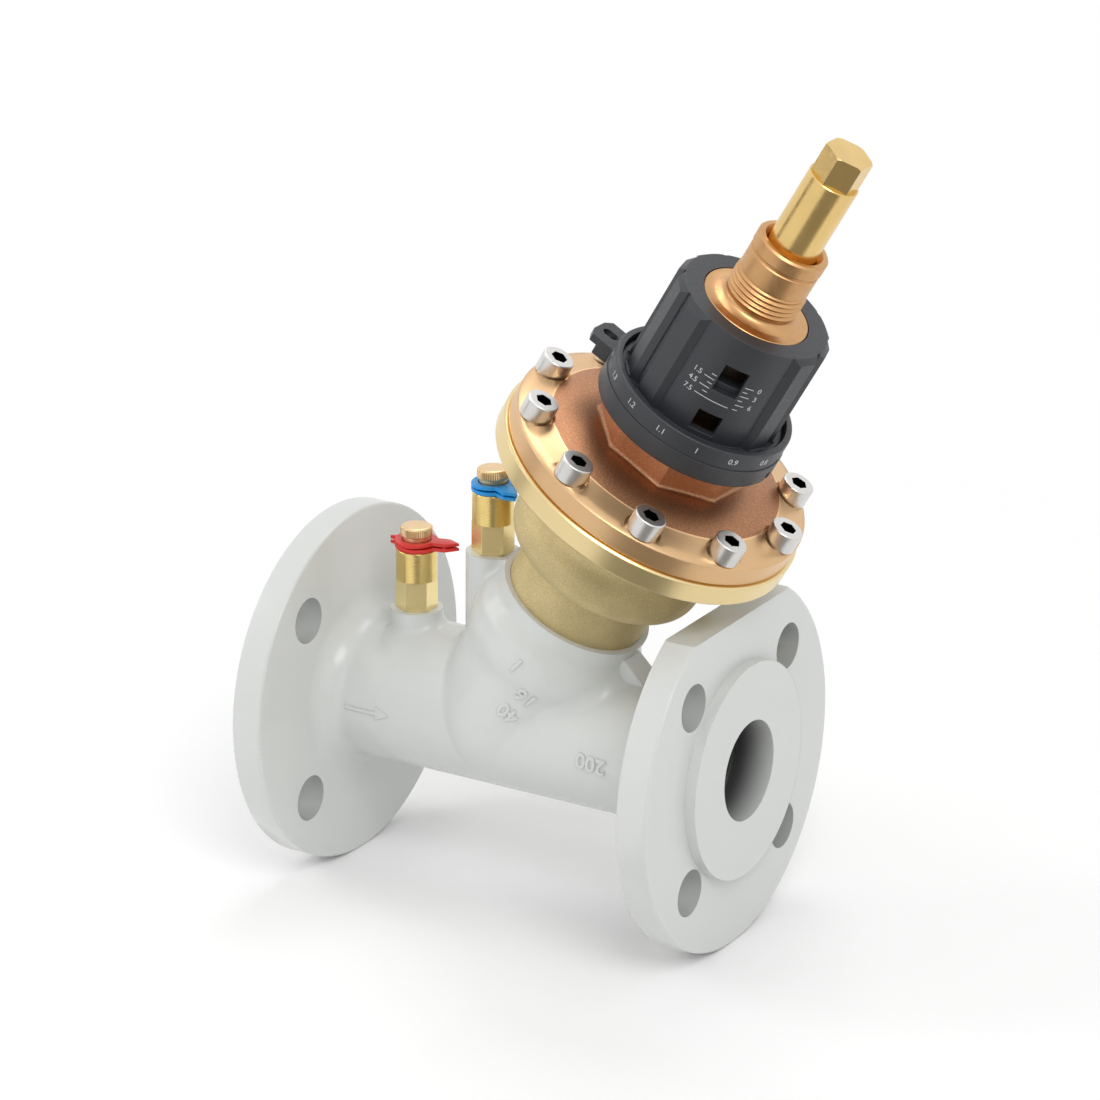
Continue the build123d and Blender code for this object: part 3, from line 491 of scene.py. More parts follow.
class PrintSizes(PropertyGroup):
    """Sizes of the dial's print and of the cast numerals."""

    ring_text: length_value("Ring numbers", "Text size of the ring's numbers", 3.5 * MM)
    hub_text: length_value("Hub numbers", "Text size of the hub's numbers", 3.1 * MM)
    line: length_value("Line", "Width of the scale's lines", 0.28 * MM)
    cast_text: length_value("Cast numerals", "Text size of the cast numerals", 9.0 * MM)
    cast_height: length_value("Cast height", "Height of the cast numerals over the casting", 0.45 * MM)


class StageValues(PropertyGroup):
    """Camera, floor and fill light."""

    azimuth: angle_value("Azimuth", "Camera's turn from the front towards the outlet", 30.535)
    elevation: angle_value("Elevation", "Camera's height angle", 19.901)
    roll: angle_value("Roll", "Camera's turn about its view", 0.515)
    distance: length_value("Distance", "From the camera to its target", 1.64277)
    target: FloatVectorProperty(name="Target", description="Point that the camera looks at", subtype="XYZ",
                                default=(0.10797, 0.0, 0.07472))
    lens: FloatProperty(name="Lens", description="Focal length in millimetres", default=135.0)
    floor: colour_value("Floor", "Colour of the floor", (0.93, 0.93, 0.93))
    fill: FloatProperty(name="Fill", description="Strength of the even light from all sides",
                        default=0.68, min=0.0)


class ValveSettings(PropertyGroup):
    """All settings of the valve."""

    colours: PointerProperty(type=FinishColours)
    neck: PointerProperty(type=NeckSizes)
    spring: PointerProperty(type=SpringSizes)
    cap: PointerProperty(type=CapSizes)
    strap: PointerProperty(type=StrapSizes)
    printing: PointerProperty(type=PrintSizes)
    stage: PointerProperty(type=StageValues)


def paint_finish(colours):
    """Satin grey paint: an uneven casting between turned flange faces, with painted shade: darker bolt holes, and
    the inside of the pipe darkening deeper in.
    """
    made = Finish("body_paint", colours.paint, 0.3)
    x, y, z = made.parts(made.where)
    from_axis = made.length(y, z)
    from_middle = made.math("ABSOLUTE", made.minus(x, FACE_TO_FACE / 2))
    from_end = made.minus(FACE_TO_FACE / 2, from_middle)
    hole_place = BOLT_CIRCLE_R * math.sqrt(0.5)
    from_hole = made.length(*[made.minus(made.math("ABSOLUTE", value), hole_place) for value in (y, z)])
    # painted shade: the paint goes darker inside the bolt holes
    hole = made.times(made.below(from_hole, BOLT_HOLE_R + MASK_MARGIN), made.below(from_end, FLANGE_BACK))
    # painted shade: inside the pipe the paint goes nearly black, darker the deeper in
    painted_bore_shade = made.times(made.below(from_axis, PIPE_BORE_R + MASK_MARGIN),
                      made.ramp(from_end, -3.0 * MM, 16.0 * MM))
    paint_with_hole_shade = made.blend(hole, made.mottle(colours.paint, 25.0, 2.0, 0.985, 1.015), shade(colours.paint, 0.62))
    made.set("Base Color", made.blend(painted_bore_shade, paint_with_hole_shade, shade(colours.paint, 0.10)))
    made.gloss(120.0, 2.0, 0.22, 0.26)
    cast = made.ramp(from_end, FLANGE_BACK - 0.5 * MM, FLANGE_BACK + 4.0 * MM)
    waves = made.times(made.noise(75.0, 1.0), cast)
    normal = made.relief(waves, 0.45 * MM, made.rounded_normal(0.6 * MM))
    grooves = made.times(made.lines(from_axis, 1.1 * MM), made.below(from_end, 5.0 * MM))
    made.set("Normal", made.relief(grooves, 0.012 * MM, normal))


def housing_finish(colours):
    """Blasted brass with a dull grain, and the flange's rim turned bright."""
    made = Finish("housing_brass", colours.housing, 0.5, 1.0)
    x, y, s = made.on_bonnet()
    turned = made.ramp(made.length(x, y), HOUSING_TURNED_R, HOUSING_TURNED_R + 1.5 * MM)
    grain = made.noise(2000.0, 4.0)
    speckle = made.ramp(grain, 0.34, 0.68, 0.90, 1.12)
    patches = made.times(speckle, made.ramp(made.noise(70.0, 4.0), *NOISE_SPAN, 0.93, 1.07))
    shades = shade(colours.housing, 0.6), shade(colours.housing, 1.6)
    blasted = made.blend(made.minus(patches, 0.6), *shades)
    made.set("Base Color", made.blend(turned, blasted, colours.housing_rim))
    made.set("Roughness", made.ramp(turned, 0.0, 1.0, 0.62, 0.28))
    made.set("Metallic", made.ramp(turned, 0.0, 1.0, 0.70, 1.0))
    rough = made.times(grain, made.minus(1.0, turned))
    normal = made.relief(rough, 0.05 * MM, made.rounded_normal(0.35 * MM))
    made.set("Normal", made.relief(made.lines(s, 0.32 * MM), TOOL_LINE, normal))


def cover_finish(colours):
    """Bronze: a machined rim with turned lines, a rough cast dome and octagon with bright worn edges, and a
    painted highlight: a thin lighter line where the rim meets the casting.
    """
    made = Finish("cover_bronze", colours.cover, 0.34, 1.0)
    x, y, s = made.on_bonnet()
    radius = made.length(x, y)
    cast = made.ramp(radius, COVER_CAST_R - 0.3 * MM, COVER_CAST_R + 0.1 * MM, 1.0, 0.0)
    octagon = made.times(cast, made.ramp(s, DOME_TOP_S, DOME_TOP_S + 1.5 * MM))
    grain = made.noise(1700.0, 4.0)
    speckle = made.ramp(grain, 0.42, 0.64)
    dome = made.blend(speckle, shade(colours.cover_cast, 0.90), shade(colours.cover_cast, 1.25))
    flats = made.blend(speckle, shade(colours.cover_cast, 1.25), shade(colours.cover_cast, 1.55))
    rounded = made.rounded_normal(0.8 * MM)
    wear = made.times(made.edge_wear_and_highlight(rounded), made.ramp(made.noise(400.0, 3.0), 0.35, 0.55, 0.35, 1.0))
    worn = made.blend(wear, made.blend(octagon, dome, flats), shade(colours.cover, 1.25))
    tarnish = made.mottle(colours.cover, 60.0, 3.0, 0.94, 1.06)
    # painted highlight: a thin lighter line along the border between the machined rim and the casting
    from_border = made.math("ABSOLUTE", made.minus(radius, COVER_CAST_R))
    painted_border_highlight = made.ramp(from_border, 0.2 * MM, 0.5 * MM, 1.0, 0.0)
    made.set("Base Color", made.blend(painted_border_highlight, made.blend(cast, tarnish, worn), shade(colours.cover, 1.3)))
    made.set("Roughness", made.ramp(cast, 0.0, 1.0, 0.33, 0.42))
    normal = made.relief(made.times(grain, cast), 0.08 * MM, rounded)
    turned = made.times(made.lines(radius, 0.5 * MM), made.minus(1.0, cast))
    made.set("Normal", made.relief(turned, 0.004 * MM, normal))


def turned_finish(name, colour, roughness, pitch, ends=False):
    """Turned metal with tool lines round the bonnet's axis; below the handwheel's disc it is painted near-black
    and not metallic, a painted shade inside the handwheel.
    """
    made = Finish(name, colour, roughness, 1.0)
    x, y, s = made.on_bonnet()
    # painted shade: below the disc's underside, inside the handwheel, the colour goes near-black and the metal
    # turns non-metallic
    outside = made.ramp(s, DISC_UNDER_S - 1.0 * MM, DISC_UNDER_S)
    bright = made.mottle(colour, 90.0, 3.0, 0.92, 1.08)
    made.set("Base Color", made.blend(outside, shade(colour, 0.04), bright))
    made.set("Metallic", outside)
    made.gloss(500.0, 2.0, roughness * 0.85, roughness * 1.2)
    across = made.math("ADD", made.length(x, y), s) if ends else s
    made.set("Normal", made.relief(made.lines(across, pitch), TOOL_LINE))
    made.set("Anisotropic", 0.55)
    from_foot = made.vector("SUBTRACT", made.where, tuple(FOOT))[0]
    around = made.vector("CROSS_PRODUCT", tuple(AXIS), from_foot)[0]
    made.set("Tangent", made.vector("NORMALIZE", around)[0])


def point_finish(colours):
    """Yellow brass with fine turned grooves round the test points' barrels; off the barrels, on the hexagons,
    paler and less metallic, a painted highlight for their bright faces.
    """
    made = Finish("point_brass", colours.point, 0.2, 1.0)
    z = made.parts(made.where)["Z"]
    barrels = made.math("MAXIMUM", *[
        made.times(made.math("GREATER_THAN", z, low), made.below(z, low + POINT_TURNED_HEIGHT))
        for low in POINT_TURNED_Z.values()])
    brass = made.mottle(colours.point, 160.0, 3.0, 0.88, 1.12)
    # painted highlight: off the barrels the brass is paler and less metallic, for the hexagons' bright faces
    made.set("Base Color", made.blend(barrels, colours.point_hexagon_highlight, brass))
    made.set("Metallic", made.ramp(barrels, 0.0, 1.0, 0.75, 1.0))
    made.gloss(700.0, 2.0, 0.18, 0.26)
    grooves = made.times(made.lines(z, 0.62 * MM), barrels)
    made.set("Normal", made.relief(grooves, 0.035 * MM, made.rounded_normal(0.35 * MM)))


def cap_finish(colours):
    """Pale bronze, slightly dull."""
    made = Finish("cap_bronze", colours.cap, 0.34, 1.0)
    made.set("Base Color", made.mottle(colours.cap, 300.0, 3.0, 0.88, 1.08))
    made.set("Normal", made.relief(made.noise(2500.0, 2.0), 0.02 * MM))


def inner_finish(colours):
    """Satin steel of the inner pieces, with fine uneven gloss."""
    made = Finish("inner_steel", colours.steel, 0.34, 1.0)
    made.set("Base Color", made.mottle(colours.steel, 250.0, 3.0, 0.88, 1.08))
    made.gloss(900.0, 3.0, 0.306, 0.374)
    made.set("Normal", made.relief(made.noise(1800.0, 2.0), 0.0006 * MM))


def screw_finish(colours):
    """Satin steel, with the key sockets of the cover's screws painted near-black as painted shade."""
    made = Finish("screw_steel", colours.steel, 0.36, 1.0)
    x, y, s = made.on_bonnet()
    radius = made.length(x, y)
    turn = made.minus(made.math("ARCTAN2", y, x), SCREW_ANGLE)
    from_nearest = made.math("PINGPONG", turn, math.pi / SCREW_COUNT)
    across = made.times(radius, made.math("SINE", from_nearest))
    along = made.times(radius, made.math("COSINE", from_nearest))
    from_screw = made.length(across, made.minus(along, SCREW_CIRCLE_R))
    # painted shade: the key sockets below the screw heads' tops are coloured near-black
    socket = made.times(made.below(from_screw, SCREW_SOCKET_R), made.below(s, SCREW_TOP_S - 0.3 * MM))
    bright = made.mottle(colours.steel, 250.0, 3.0, 0.92, 1.06)
    made.set("Base Color", made.blend(socket, bright, shade(colours.steel, 0.03)))
    made.gloss(900.0, 3.0, 0.30, 0.38)
    made.set("Normal", made.relief(made.noise(1800.0, 2.0), 0.0006 * MM))


def plastic_finish(name, colour, edge, roughness):
    """Moulded plastic with a fine matt grain, and a painted highlight: lighter colour along its edges."""
    made = Finish(name, colour, roughness)
    rounded = made.rounded_normal(0.4 * MM)
    # painted highlight: the colour goes lighter along sharp edges
    made.set("Base Color", made.blend(made.edge_wear_and_highlight(rounded), colour, edge))
    made.gloss(1200.0, 3.0, roughness * 0.85, roughness * 1.2)
    made.set("Normal", made.relief(made.noise(2400.0, 2.0), 0.018 * MM, rounded))


def rubber_finish(colours):
    """Matt black rubber."""
    made = Finish("seal_rubber", colours.rubber, 0.7)
    made.set("Base Color", made.mottle(colours.rubber, 500.0, 2.0, 0.8, 1.4))
    made.set("Normal", made.relief(made.noise(1600.0, 2.0), 0.03 * MM))


def ink_finish(colours):
    """White print, a little uneven."""
    made = Finish("dial_print", colours.ink, 0.55)
    made.set("Base Color", made.mottle(colours.ink, 1500.0, 2.0, 0.85, 1.05))


def make_finishes(colours):
    """Makes the finish of each slot in the record, and those of the caps and the print."""
    for make in (paint_finish, housing_finish, cover_finish, point_finish, cap_finish, inner_finish,
                 screw_finish, rubber_finish, ink_finish):
        make(colours)
    turned_finish("neck_bronze", colours.neck, 0.34, 0.35 * MM)
    turned_finish("spindle_brass", colours.spindle, 0.20, 0.30 * MM, ends=True)
    # the second colour of each plastic is its painted highlight along the edges
    plastic_finish("black_plastic", colours.plastic, DIAL_EDGE_HIGHLIGHT, 0.42)
    plastic_finish("red_plastic", colours.red, shade(colours.red, 1.35), 0.38)
    plastic_finish("blue_plastic", colours.blue, shade(colours.blue, 1.3), 0.38)


def smoothing_group():
    """Node group that joins a node's loose triangles and shades them smooth, apart from sharp edges."""
    group = bpy.data.node_groups.new("smooth_below_32_degrees", "GeometryNodeTree")
    for way in ("INPUT", "OUTPUT"):
        group.interface.new_socket("Geometry", in_out=way, socket_type="NodeSocketGeometry")
    nodes, links = group.nodes, group.links
    start, end = nodes.new("NodeGroupInput"), nodes.new("NodeGroupOutput")
    merge = nodes.new("GeometryNodeMergeByDistance")
    merge.inputs["Distance"].default_value = 1e-6
    faces = nodes.new("GeometryNodeSetShadeSmooth")
    edges = nodes.new("GeometryNodeSetShadeSmooth")
    edges.domain = "EDGE"
    edges.inputs["Shade Smooth"].default_value = False
    angle = nodes.new("GeometryNodeInputMeshEdgeAngle")
    sharp = nodes.new("FunctionNodeCompare")
    sharp.operation = "GREATER_THAN"
    sharp.inputs[1].default_value = NODE_SHARP_ANGLE
    links.new(start.outputs[0], merge.inputs["Geometry"])
    links.new(merge.outputs["Geometry"], faces.inputs["Geometry"])
    links.new(faces.outputs["Geometry"], edges.inputs["Geometry"])
    links.new(angle.outputs["Unsigned Angle"], sharp.inputs[0])
    links.new(sharp.outputs["Result"], edges.inputs["Selection"])
    links.new(edges.outputs["Geometry"], end.inputs[0])
    return group


def text_mesh(name, body, size, thickness, edge=0.0):
    """Text as a mesh, centred on its own middle and half its thickness to each side of z 0."""
    curve = bpy.data.curves.new(name, "FONT")
    curve.body = body
    curve.size = size
    curve.align_x = curve.align_y = "CENTER"
    curve.extrude = thickness / 2
    curve.bevel_depth = edge
    curve.resolution_u = 3
    text = link_object(name, curve)
    bpy.context.view_layer.update()
    mesh = bpy.data.meshes.new_from_object(text.evaluated_get(bpy.context.evaluated_depsgraph_get()))
    bpy.data.objects.remove(text)
    bpy.data.curves.remove(curve)
    return mesh


def bend_mesh(mesh, place):
    """Carries every point (x, y, z) of a flat mesh to place(x, y, z)."""
    flat = np.empty(len(mesh.vertices) * 3)
    mesh.vertices.foreach_get("co", flat)
    mesh.vertices.foreach_set("co", place(*flat.reshape(-1, 3).T).reshape(-1))
    mesh.update()
    return mesh


def join_meshes(name, meshes):
    """One mesh from several."""
    work = bmesh.new()
    for mesh in meshes:
        work.from_mesh(mesh)
        bpy.data.meshes.remove(mesh)
    whole = bpy.data.meshes.new(name)
    work.to_mesh(whole)
    work.free()
    close_mesh(whole)
    return whole


def bar_mesh(radius, start, stop, s, width, proud):
    """Thin line round the bonnet: a small rectangle is carried from one angle in degrees to another."""
    angle = np.radians(np.linspace(start, stop, 14))[:, None]
    out = np.array((-proud, proud, proud, -proud))
    up = np.array((-0.5, -0.5, 0.5, 0.5)) * width
    grid = around_bonnet(radius + out, angle, s + up)
    first, last = [end.mean(axis=1, keepdims=True).repeat(4, axis=1) for end in (grid[:1], grid[-1:])]
    return surface_mesh("line", [(np.concatenate((first, grid, last)), False, True)])


class VALVE_OT_nodes(Operator):
    """Give every solid of the valve its finish and smooth shading"""

    bl_idname = "valve.finish_nodes"
    bl_label = "Finish the solids"

    def execute(self, context):
        make_finishes(context.scene.valve.colours)
        slots = {part["node"]: part["material_slot"] for part in frame["record"]["subparts"]}
        group = smoothing_group()
        for name, node in frame["nodes"].items():
            node.data.materials.clear()
            node.data.materials.append(finish_of(slots[name]))
            node.modifiers.new("smooth", "NODES").node_group = group
        return {"FINISHED"}


class VALVE_OT_neck(Operator):
    """Turn the bronze neck with its disc, hollow cone and helical actuator thread"""

    bl_idname = "valve.actuator_neck"
    bl_label = "Actuator neck"

    def execute(self, context):
        sizes = context.scene.valve.neck
        low, high = THREAD_LOW_S, THREAD_HIGH_S

        def thread_radius(radius, s, angle):
            """Crest radius less a rounded groove that climbs one pitch a turn, faded in at both ends."""
            inside = np.clip((s - low) / sizes.pitch, 0, 1) * np.clip((high - s) / (0.5 * sizes.pitch), 0, 1)
            phase = (s - low) / sizes.pitch - angle / (2 * math.pi)
            groove = (0.5 - 0.5 * np.cos(2 * math.pi * phase)) ** 0.8
            return radius - np.where((s > low) & (s < high), sizes.depth * (1 - inside * (1 - groove)), 0.0)

        grid = on_bonnet(*turned_grid(self.profile(sizes), sizes.columns, thread_radius))
        mesh = surface_mesh("actuator_neck", [(grid, True, True)])
        place_piece(mesh, finish_of("neck_bronze"), "valve", ["setting_neck"])
        return {"FINISHED"}

    @staticmethod
    def profile(sizes):
        """Half section: up the outside over disc, hollow cone, thread and collar, and down the bores."""
        root, low, high = THREAD_R - sizes.depth, THREAD_LOW_S, THREAD_HIGH_S
        cone = [(root + (CONE_R - root) * (1 - t) ** CONE_POWER, DISC_TOP_S + (low - DISC_TOP_S) * t)
                for t in np.linspace(0.0, 1.0, 12)]
        thread = [(THREAD_R, s) for s in np.linspace(low + 0.05 * MM, high - 0.05 * MM, 92)]
        return [
            (STEM_BORE_R, NECK_FOOT_S), (NECK_FOOT_R, NECK_FOOT_S), (NECK_FOOT_R, NECK_SHAFT_S),
            (NECK_SHAFT_R, NECK_SHAFT_S), (NECK_SHAFT_R, DISC_UNDER_S),
            (DISC_R - 0.4 * MM, DISC_UNDER_S), (DISC_R, DISC_UNDER_S + 0.4 * MM),
            (DISC_R, DISC_TOP_S - 0.3 * MM), (DISC_R - 0.3 * MM, DISC_TOP_S),
            *cone, *thread,
            (RUN_OUT_R, high), (UNDERCUT_R, high + 0.3 * MM), (UNDERCUT_R, high + 0.8 * MM),
            (COLLAR_R, high + 1.2 * MM),
            (COLLAR_R, NECK_TOP_S - 0.4 * MM), (COLLAR_R - 0.4 * MM, NECK_TOP_S),
            (GLAND_BORE_R, NECK_TOP_S), (GLAND_BORE_R, GLAND_FLOOR_S), (SPINDLE_BORE_R, GLAND_FLOOR_S),
            (SPINDLE_BORE_R, STEM_BORE_TOP_S), (STEM_BORE_R, STEM_BORE_TOP_S),
        ]


class VALVE_OT_spring(Operator):
    """Wind the regulator's spring between the housing's floor and the sleeve"""

    bl_idname = "valve.regulator_spring"
    bl_label = "Regulator spring"

    def execute(self, context):
        """A circle of wire, which shrinks to a point at both ends, is carried up a helix about the axis."""
        sizes = context.scene.valve.spring
        low, high = SPRING_FLOOR_S + sizes.wire, SPRING_TOP_S - sizes.wire
        share = np.linspace(0.0, 1.0, 36 * sizes.turns + 1)[:, None]
        share = np.concatenate((share[:1], share, share[-1:]))
        wire = np.full_like(share, sizes.wire)
        wire[[0, -1]] = 0.0
        section = np.radians(np.arange(0.0, 360.0, 30.0))
        grid = around_bonnet(sizes.radius + wire * np.cos(section), 2 * math.pi * sizes.turns * share,
                             low + (high - low) * share + wire * np.sin(section))
        mesh = surface_mesh("regulator_coil", [(grid, False, True)])
        coil = place_piece(mesh, finish_of("inner_steel"), None, ["regulator_spring"])
        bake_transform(coil)
        return {"FINISHED"}


class VALVE_OT_caps(Operator):
    """Turn the two knurled caps of the test points"""

    bl_idname = "valve.knurled_caps"
    bl_label = "Knurled caps"

    def execute(self, context):
        sizes = context.scene.valve.cap
        bronze = finish_of("cap_bronze")
        for colour in ("red", "blue"):
            base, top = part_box(f"{colour}_test_cap")
            middle = JOINTS[f"{colour}_cap_turn"]["pos_m"][:2]
            neck_z, head_z = top.z - CAP_NECK_DROP, top.z - CAP_HEAD_DROP
            outer = (top.x - base.x) / 2
            side = [(outer, head_z + rise * MM) for rise in (0.3, 1.2, 2.2, 3.2)]
            top_edge = [(outer - inset * MM, top.z - drop * MM)
                        for inset, drop in ((0.15, 0.6), (0.6, 0.2), (1.2, 0.02), (2.5, 0.0))]
            profile = [(0.0, base.z), (CAP_STEM_R, base.z), (CAP_STEM_R, neck_z), (CAP_NECK_R, neck_z),
                       (CAP_NECK_R, head_z), (outer - 0.35 * MM, head_z), *side, *top_edge, (0.0, top.z)]

            def knurl(radius, z, angle):
                """Radius less a saw of teeth round the head, and less two finger notches in its top edge."""
                tooth = np.abs((angle * sizes.teeth / (2 * math.pi)) % 1.0 - 0.5) * 2
                on_side = np.clip((radius - outer + 0.3 * MM) / (0.3 * MM), 0, 1)
                notch = np.clip(1 - np.abs(((angle + 0.5) % math.pi) - math.pi / 2) / 0.2, 0, 1)
                near_top = np.clip((z - head_z - 2.4 * MM) / (0.8 * MM), 0, 1)
                near_rim = np.clip((radius - outer + 2 * MM) / MM, 0, 1)
                cut = near_top * near_rim * notch * sizes.notch_depth
                return radius - on_side * tooth * sizes.tooth_depth - cut

            grid = np.stack(turned_grid(profile, sizes.teeth * 6, knurl), axis=-1) + (*middle, 0.0)
            mesh = surface_mesh(f"{colour}_knurled_cap", [(grid, False, True)])
            place_piece(mesh, bronze, f"{colour}_cap", [f"{colour}_test_cap"])
        return {"FINISHED"}


class VALVE_OT_straps(Operator):
    """Fold the red and the blue plastic straps under their caps"""

    bl_idname = "valve.folded_straps"
    bl_label = "Folded straps"

    def execute(self, context):
        sizes = context.scene.valve.strap
        for colour, turn in STRAP_TURNS.items():
            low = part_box(f"{colour}_strap")[0]
            middle = JOINTS[f"{colour}_cap_turn"]["pos_m"][:2]
            first = low.z + STRAP_REST
            levels = (first, first + sizes.thickness + STRAP_GAP)
            sheets = [self.layer(sizes, level, phase) for level, phase in zip(levels, (0.6, 2.4))]
            sheets.append(self.fold(sizes, levels))
            cosine, sine = math.cos(math.radians(turn)), math.sin(math.radians(turn))
            spin = np.array(((cosine, sine, 0), (-sine, cosine, 0), (0, 0, 1)))
            placed = [(sheet @ spin + (*middle, 0.0), *wraps) for sheet, wraps in sheets]
            mesh = surface_mesh(f"{colour}_folded_strap", placed)
            slot = f"{colour}_plastic"
            place_piece(mesh, finish_of(slot), "valve", [f"{colour}_strap"])
        return {"FINISHED"}

    @staticmethod
    def layer(sizes, level, phase):
        """One wavy layer: a ring whose outline runs out to a pointed leaf and to a small beak opposite.

        At each angle the outline is the largest of a circle, a leaf with straight sides and a beak.
        A rounded section is carried round between it and the hole, and its height swings twice a turn.
        """
        angle = np.radians(np.arange(0, 360, 1.5))
        half = sizes.width / 2
        cosine, sine = np.cos(angle), np.abs(np.sin(angle))
        least = 0.05  # keeps the divisions finite where an edge never meets the ray
        point = sizes.reach / np.maximum(cosine + sine * STRAP_POINT / half, least)
        leaf = np.where(cosine > 0, np.minimum(point, half / np.maximum(sine, least)), 0)
        beak = STRAP_BEAK / np.maximum(np.abs(cosine) + STRAP_BEAK_SLOPE * sine, least)
        outline = np.maximum(np.maximum(STRAP_RIM_R, leaf), np.where(cosine < 0, beak, 0))
        across = np.array((0.0, 0.93, 0.985, 1.0, 1.0, 0.985, 0.93, 0.0))
        up = np.array((0.0, 0.0, 0.1, 0.3, 0.7, 0.9, 1.0, 1.0)) * sizes.thickness
        radius = STRAP_BORE_R + (outline[:, None] - STRAP_BORE_R) * across
        from_hole = np.clip((radius - STRAP_BORE_R) / (STRAP_RIM_R - STRAP_BORE_R), 0, 1)
        wave = STRAP_WAVE * np.sin(2 * angle + phase)[:, None] * from_hole
        x, y = radius * cosine[:, None], radius * np.sin(angle)[:, None]
        return np.stack((x, y, level + up + wave), axis=-1), (True, True)

    @staticmethod
    def fold(sizes, levels):
        """The fold between the layers: a flat oval bar, as wide as the leaf, stands near the tip."""
        low, high = levels[0] + FOLD_INSET, levels[1] + sizes.thickness - FOLD_INSET
        turn = np.radians(np.arange(0, 360, 15.0))
        height = np.array((low, low, high, high))[:, None]
        reach = np.array((0.0, 1.0, 1.0, 0.0))[:, None]
        x = sizes.reach - FOLD_FROM_TIP + reach * FOLD_R * np.cos(turn)
        y = reach * (sizes.width / 2 - FOLD_INSET) * np.sin(turn)
        return np.stack(np.broadcast_arrays(x, y, height), axis=-1), (False, True)


class VALVE_OT_print(Operator):
    """Print the numbers on the scale ring and the flow scale on the handwheel"""

    bl_idname = "valve.dial_print"
    bl_label = "Dial print"

    def execute(self, context):
        sizes = context.scene.valve.printing
        ink = finish_of("dial_print")

        def printed(words, size, radius, degrees, station):
            """Flat text laid on a cylinder: x becomes arc length and z becomes radius."""
            mesh = text_mesh("number", words, size, 2 * PRINT_PROUD)
            angle, s = math.radians(degrees), station * MM
            return bend_mesh(mesh, lambda x, y, z: around_bonnet(radius + z, angle + x / radius, s + y))

        numbers = [printed(f"{tenths / 10:g}", sizes.ring_text, SCALE_RING_R,
                           RING_ANGLE_OF_ONE - RING_STEP * (tenths - 10), RING_TEXT_S)
                   for tenths in RING_TENTHS]
        place_piece(join_meshes("scale_ring_numbers", numbers), ink, "valve")

        scale = [printed(words, sizes.hub_text, HUB_R, angle, station)
                 for angle, rows in HUB_NUMBERS.items() for words, station in rows]
        scale += [bar_mesh(HUB_R, start, stop, station * MM, sizes.line, PRINT_PROUD)
                  for (start, stop), stations in HUB_LINES.items() for station in stations]
        place_piece(join_meshes("hub_scale", scale), ink, "handwheel")
        return {"FINISHED"}


class VALVE_OT_cast_marks(Operator):
    """Raise the cast numerals and the flow arrow on the body"""

    bl_idname = "valve.cast_marks"
    bl_label = "Cast marks"

    def execute(self, context):
        sizes = context.scene.valve.printing
        paint = finish_of("body_paint")

        def upside_down(words, turn):
            """Raised text, turned to stand on its head and then by an angle in degrees."""
            mesh = text_mesh("numeral", words, sizes.cast_text, 2 * sizes.cast_height, CAST_EDGE)
            mesh.transform(Matrix.Rotation(math.pi + math.radians(turn), 4, "Z"))
            return mesh

        def on_barrel(degrees, station):
            """Placing of flat text on the barrel, about an angle and a station."""
            angle, s = math.radians(degrees), station * MM
            return lambda x, y, z: around_bonnet(barrel_radius(s + y) + z, angle + x / BARREL_R, s + y)

        def on_pipe(x, y, z):
            return around_tube(TUBE_R + z, PIPE_MARK_X + x, PIPE_MARK_ANGLE + y / TUBE_R)

        marks = [bend_mesh(upside_down(words, BARREL_MARK_TURN), on_barrel(degrees, station))
                 for words, degrees, station in BARREL_MARKS]
        marks.append(bend_mesh(upside_down(PIPE_MARK, PIPE_MARK_TURN), on_pipe))
        place_piece(join_meshes("cast_numerals", marks), paint, "valve")

        ring = around_tube(TUBE_R + ARROW_RISE[:, None], ARROW_ALONG, ARROW_ANGLE + ARROW_ACROSS / TUBE_R)
        count = len(ARROW_ALONG)
        ends = [list(range(count)), list(range(count, 2 * count))]
        arrow = bpy.data.meshes.new("flow_arrow")
        arrow.from_pydata(ring.reshape(-1, 3), [], grid_faces(2, count, False, True).tolist() + ends)
        close_mesh(arrow)
        place_piece(arrow, paint, "valve")
        return {"FINISHED"}


